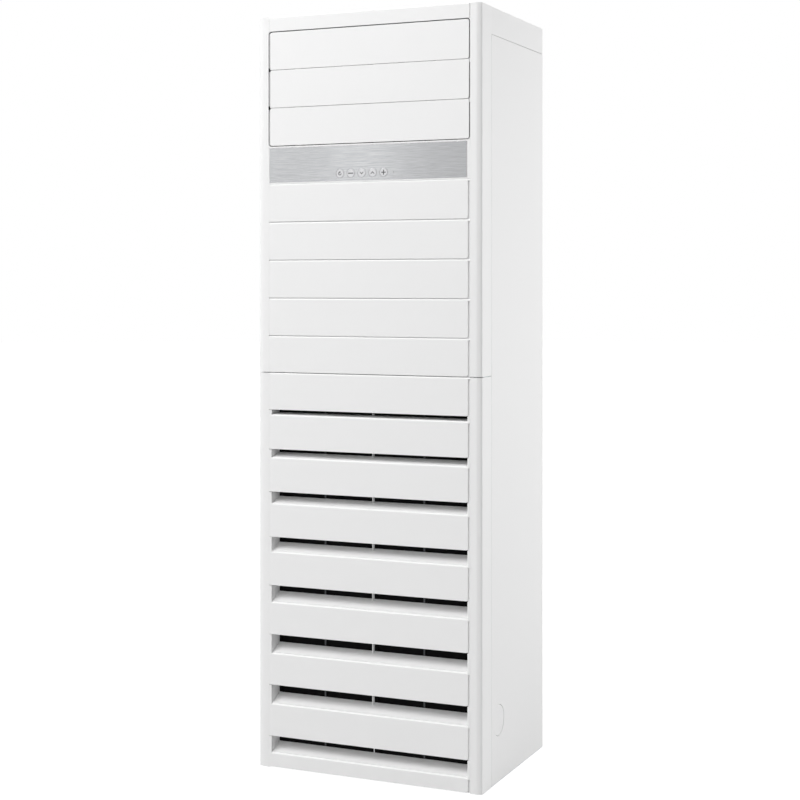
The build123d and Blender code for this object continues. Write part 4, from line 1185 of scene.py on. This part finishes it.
# ---- grille
@dataclass
class IntakeGrille:
    """The slotted panel low on the front, with deep ledges behind its slots.

    Each slot is given by the height of its lower edge, its own height, and how far its floor
    and roof climb from the front to the back.
    """

    half: float = 265.6
    z: Span = (2.0, 973.9)
    pad_depth: float = 4.0
    face_t: float = 5.5
    depth: float = 42.0
    slot_half: float = 259.2
    wall: float = 2.0
    strip_half: float = 266.1
    strip_gap: float = 1.2
    strip_r: float = 1.5
    slots: tuple[Point, ...] = (
        (870.6, 12.2, 3.2), (765.4, 20.0, 8.9), (651.8, 28.6, 13.0), (532.6, 36.2, 18.1),
        (408.4, 41.2, 20.1), (282.6, 46.0, 19.3), (157.7, 46.3, 19.6), (37.2, 40.8, 18.4),
    )
    cut_past: float = 3.0
    overlap: float = 0.1
    rib_half: float = 1.5
    rib_depth: float = 8.5
    stem_half: float = 1.2
    web_half: float = 9.0
    filters: Span = (36.0, 930.0)
    filter_back: float = -169.2
    rail_t: float = 1.6
    rail_out: float = 265.3
    rail_wall: float = 262.9
    rail_lip: float = 253.3
    foot: Span = (37.7, 39.7)
    filter_rib: Span = (130.0, 134.1)
    filter_rib_t: float = 0.6
    pad: Pad = Pad()

    def bar(self, half: float, low: float, height: float, rise: float, y: Span) -> Piece:
        """Model a bar across the grille whose floor climbs towards the back.

        Args:
            half: half its length.
            low: height of its lower edge at the front of the grille.
            height: height of its top above that edge.
            rise: how far the floor climbs over the grille's depth.
            y: its front and back.
        Returns:
            The bar.
        """
        bar = block("bar", (-half, half), y, (low, low + height))
        for vertex in bar.data.vertices:
            if near(vertex.co.z / MM, low):
                vertex.co.z += (vertex.co.y - FRONT * MM) * rise / self.depth
        return bar

    def build(self) -> None:
        """Model and dress the grille, its rails and the filters' ribs."""
        low, high = self.z
        front, face = FRONT + self.pad_depth, FRONT + self.face_t
        rear = FRONT + self.depth
        plate = block("plate", (-self.half, self.pad.sheet_right), (front, face), self.z)
        parts = []
        cuts = []
        edges = [high]
        for z, height, rise in self.slots:
            past = rear + self.cut_past
            cuts.append(self.bar(self.slot_half, z, height, rise, (FRONT - self.cut_past, past)))
            outer = self.bar(
                self.slot_half + self.wall, z - self.wall, height + 2 * self.wall, rise,
                (face - 0.5, rear),
            )
            inner = self.bar(self.slot_half, z, height, rise, (FRONT, past))
            parts.append(cut(outer, [inner]))
            parts.extend(self.strips(z, height, front + self.overlap))
            edges += [z + height, z]
        parts.append(self.pad.floor(self.z))
        edges.append(low)
        for top, bottom in zip(edges[::2], edges[1::2]):
            parts.append(self.pad.build("slat", front + self.overlap, (bottom, top)))
        piece = join("inlet_grille_piece", [cut(plate, cuts), *parts])
        dress(piece, "grille", "front_plastic", ["inlet_grille"])
        self.build_rails()
        self.build_filter_ribs()

    def strips(self, z: float, height: float, back: float) -> list[Piece]:
        """Model the two upright strips that close a slot's ends at the front.

        Args:
            z: the height of the slot's lower edge.
            height: the slot's height.
            back: the place of the strips' backs.
        Returns:
            The strips.
        """
        made = []
        tall = (z - self.pad.top_r, z + height - self.strip_gap)
        for side in (1, -1):
            inner = side * self.slot_half
            strip = block("strip", span(inner, side * self.strip_half), (FRONT, back), tall)
            bevel(strip, where("z", x=inner, y=FRONT), self.strip_r, 4)
            made.append(strip)
        return made

    def build_rails(self) -> None:
        """Model the upright rib behind the slots and the rails that hold the filters."""
        rear, back = FRONT + self.depth, self.filter_back
        behind = back + self.rail_t
        tall = self.filters
        rib_front = rear - self.rib_depth
        wide = (-self.rib_half, self.rib_half)
        rib = block("rib", wide, (rib_front, rear), (self.slots[-2][0], tall[1]))
        bevel(rib, where("z", y=rib_front), 0.5)
        parts = [
            rib,
            block("stem", (-self.stem_half, self.stem_half), (rear, back), tall),
            block("web", (-self.web_half, self.web_half), (back, behind), tall),
            block("foot", (-self.rail_out, self.rail_out), (rear - 1, behind), self.foot),
        ]
        for side in (1, -1):
            edge = side * self.rail_out
            x = span(edge, side * self.rail_wall)
            parts.append(block("rail", x, (FRONT + self.face_t - 0.5, behind), tall))
            x = span(edge, side * self.rail_lip)
            parts.append(block("rail", x, (back, behind), tall))
        piece = join("grille_rails", parts)
        dress(piece, "grille", "front_plastic", ["inlet_grille"])

    def build_filter_ribs(self) -> None:
        """Model the grey stiffening rib down the middle of each filter."""
        face = FRONT + self.depth + 0.1
        near_x, far_x = self.filter_rib
        low, high = self.filters
        for side, body in ((1, "filter_right"), (-1, "filter_left")):
            rib = block(
                f"{body}_rib", span(side * near_x, side * far_x),
                (face, face + self.filter_rib_t), (low + 5, high - 1),
            )
            bevel(rib, where("z", y=face), 0.15, 2)
            dress(rib, body, "housing_plastic")


@dataclass
class KnockOuts:
    """The pipe knock-out disc pressed into each side sheet, held by short bridges."""

    place: Span = (-104.0, 147.7)
    radius: float = 36.1
    reach: float = 37.3
    x: Span = (293.5, 294.3)
    edge_r: float = 0.35
    bridge: float = 2.6
    turns: tuple[float, ...] = (60.0, 180.0, 300.0)

    def build(self) -> None:
        """Model and dress both discs as one piece."""
        y, z = self.place
        low, high = self.x
        disc = rod("disc", (low, y, z), (high, y, z), self.radius, 96)
        bevel(disc, where(x=high), self.edge_r, 2)
        parts = [disc]
        for turn in self.turns:
            bridge = block(
                "bridge", (low + 0.1, high - 0.2), (self.radius - 2, self.reach),
                (-self.bridge / 2, self.bridge / 2),
            )
            bridge.rotation_euler = (math.radians(turn), 0.0, 0.0)
            bridge.location = (0.0, y * MM, z * MM)
            parts.append(settle(bridge))
        right = join("right_disc", parts)
        both = join("knockout_discs_piece", [right, mirror(right, "left_disc")])
        dress(both, "cabinet", "cabinet_paint", ["knockout_discs"])


# ---- frame-made pieces
@dataclass
class FramePieces:
    """Pieces whose frame mesh is right as it is, each with its finish."""

    frame: dict

    def build(self) -> None:
        """Give every frame mesh the finish of its material slot."""
        for part in self.frame["record"]["subparts"]:
            obj = self.frame["nodes"][part["node"]]
            obj.data.materials.clear()
            obj.data.materials.append(FINISHES[part["material_slot"]].build())


# ---- studio
@dataclass(frozen=True)
class Lamp:
    """A flat lamp, in metres and watts."""

    name: str
    place: Point
    aim: Point
    size: Span
    power: float

    def hang(self) -> None:
        """Hang the lamp, turned to its aim and hidden from the camera."""
        data = bpy.data.lights.new(self.name, "AREA")
        data.shape = "RECTANGLE"
        data.size, data.size_y = self.size
        data.energy = self.power
        lamp = bpy.data.objects.new(self.name, data)
        lamp.location = self.place
        way = Vector(self.aim) - Vector(self.place)
        lamp.rotation_euler = way.to_track_quat("-Z", "Y").to_euler()
        lamp.visible_camera = False
        bpy.context.scene.collection.objects.link(lamp)


@dataclass
class Studio:
    """Floor, backdrop, lamps and camera."""

    camera_place: Point = (1660.6, -3772.2, 1191.9)
    camera_turn: float = 23.89
    lens: float = 73.4
    sensor: float = 36.0
    shift_up: float = -0.1447
    clip_end: float = 100.0
    horizon: float = 0.43
    zenith: float = 0.68
    floor_r: float = 30.0          # in metres
    floor_grey: str = "C6C6C6"
    floor_glow: float = 1.5
    glow_share: float = 0.6
    lamps: tuple[Lamp, ...] = (
        Lamp("key_softbox", (-2.45, -3.25, 5.2), (0.0, -0.2, 1.1), (3.4, 3.4), 237.0),
        Lamp("side_softbox", (3.4, 3.1, 1.3), (0.2, 0.0, 0.85), (2.0, 2.4), 82.0),
        Lamp("band_strip", (-1.36, -3.05, 1.72), (0.0, -0.2, 1.486), (0.3, 1.4), 1.18),
        Lamp("band_fill", (-1.98, -2.85, 1.72), (0.0, -0.2, 1.486), (0.6, 1.4), 1.6),
    )

    def build(self) -> None:
        """Make the whole studio."""
        self.build_camera()
        self.build_world()
        self.build_floor()
        for lamp in self.lamps:
            lamp.hang()

    def build_camera(self) -> None:
        """Set the camera at the photograph's angle."""
        data = bpy.data.cameras.new("camera")
        data.lens = self.lens
        data.sensor_width = self.sensor
        data.shift_y = self.shift_up
        data.clip_end = self.clip_end
        camera = bpy.data.objects.new("camera", data)
        camera.location = [v * MM for v in self.camera_place]
        camera.rotation_euler = (math.radians(90), 0.0, math.radians(self.camera_turn))
        bpy.context.scene.collection.objects.link(camera)
        bpy.context.scene.camera = camera

    def build_world(self) -> None:
        """Light the scene mostly from above, and show plain white to the camera and gloss."""
        world = bpy.data.worlds.new("studio_world")
        bpy.context.scene.world = world
        tree = empty_tree(world)
        way = add_node(tree, "TexCoord").outputs["Generated"]
        height = add_node(tree, "SeparateXYZ", None, {0: way}).outputs["Z"]
        settings = {"To Min": self.horizon, "To Max": self.zenith}
        level = add_node(tree, "MapRange", settings, {"Value": height})
        dim = add_node(tree, "Background", {"Color": WHITE}, {"Strength": level})
        plain = add_node(tree, "Background", {"Color": WHITE, "Strength": 1.0})
        mixed = add_node(tree, "MixShader", None, {0: self.seen(tree), 1: dim, 2: plain})
        add_node(tree, "OutputWorld", None, {"Surface": mixed})

    @staticmethod
    def seen(tree: Tree) -> Socket:
        """Make a socket that tells the rays that are seen from the rest.

        Args:
            tree: a node tree.
        Returns:
            A socket of 1 for a ray from the camera, a reflection or glass, and else 0.
        """
        path = add_node(tree, "LightPath").outputs
        seen = path["Is Camera Ray"]
        for kind in ("Is Glossy Ray", "Is Transmission Ray"):
            seen = add_node(
                tree, "Math", {"operation": "MAXIMUM"}, {0: seen, 1: path[kind]}
            ).outputs[0]
        return seen

    def build_floor(self) -> None:
        """Lay a wide pale floor that fades to white but keeps the shadow."""
        bpy.ops.object.select_all(action="DESELECT")
        bpy.ops.mesh.primitive_circle_add(
            vertices=64, radius=self.floor_r, fill_type="NGON", location=(0.0, 0.0, 0.0)
        )
        floor = fresh("studio_floor")
        material = bpy.data.materials.new("pale_floor")
        tree = empty_tree(material)
        matt = add_node(tree, "BsdfDiffuse", {"Color": linear(self.floor_grey)})
        glow = add_node(tree, "Emission", {"Color": WHITE, "Strength": self.floor_glow})
        share = add_node(
            tree, "Math", {"operation": "MULTIPLY", 1: self.glow_share}, {0: self.seen(tree)}
        )
        mixed = add_node(tree, "MixShader", None, {0: share, 1: matt, 2: glow})
        add_node(tree, "OutputMaterial", None, {"Surface": mixed})
        floor.data.materials.append(material)


def main() -> None:
    """Build every sub-assembly in order."""
    logging.basicConfig(level=logging.INFO, format="%(message)s")
    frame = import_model()
    assemblies = (
        Studio(), FramePieces(frame), Columns(), TopCap(), StripePanel(), ControlBand(), Vanes(),
        IntakeGrille(), KnockOuts(),
    )
    for assembly in assemblies:
        LOG.info("building %s", type(assembly).__name__)
        assembly.build()
    bpy.context.scene.view_settings.view_transform = "Standard"


if __name__ == "__main__":
    main()
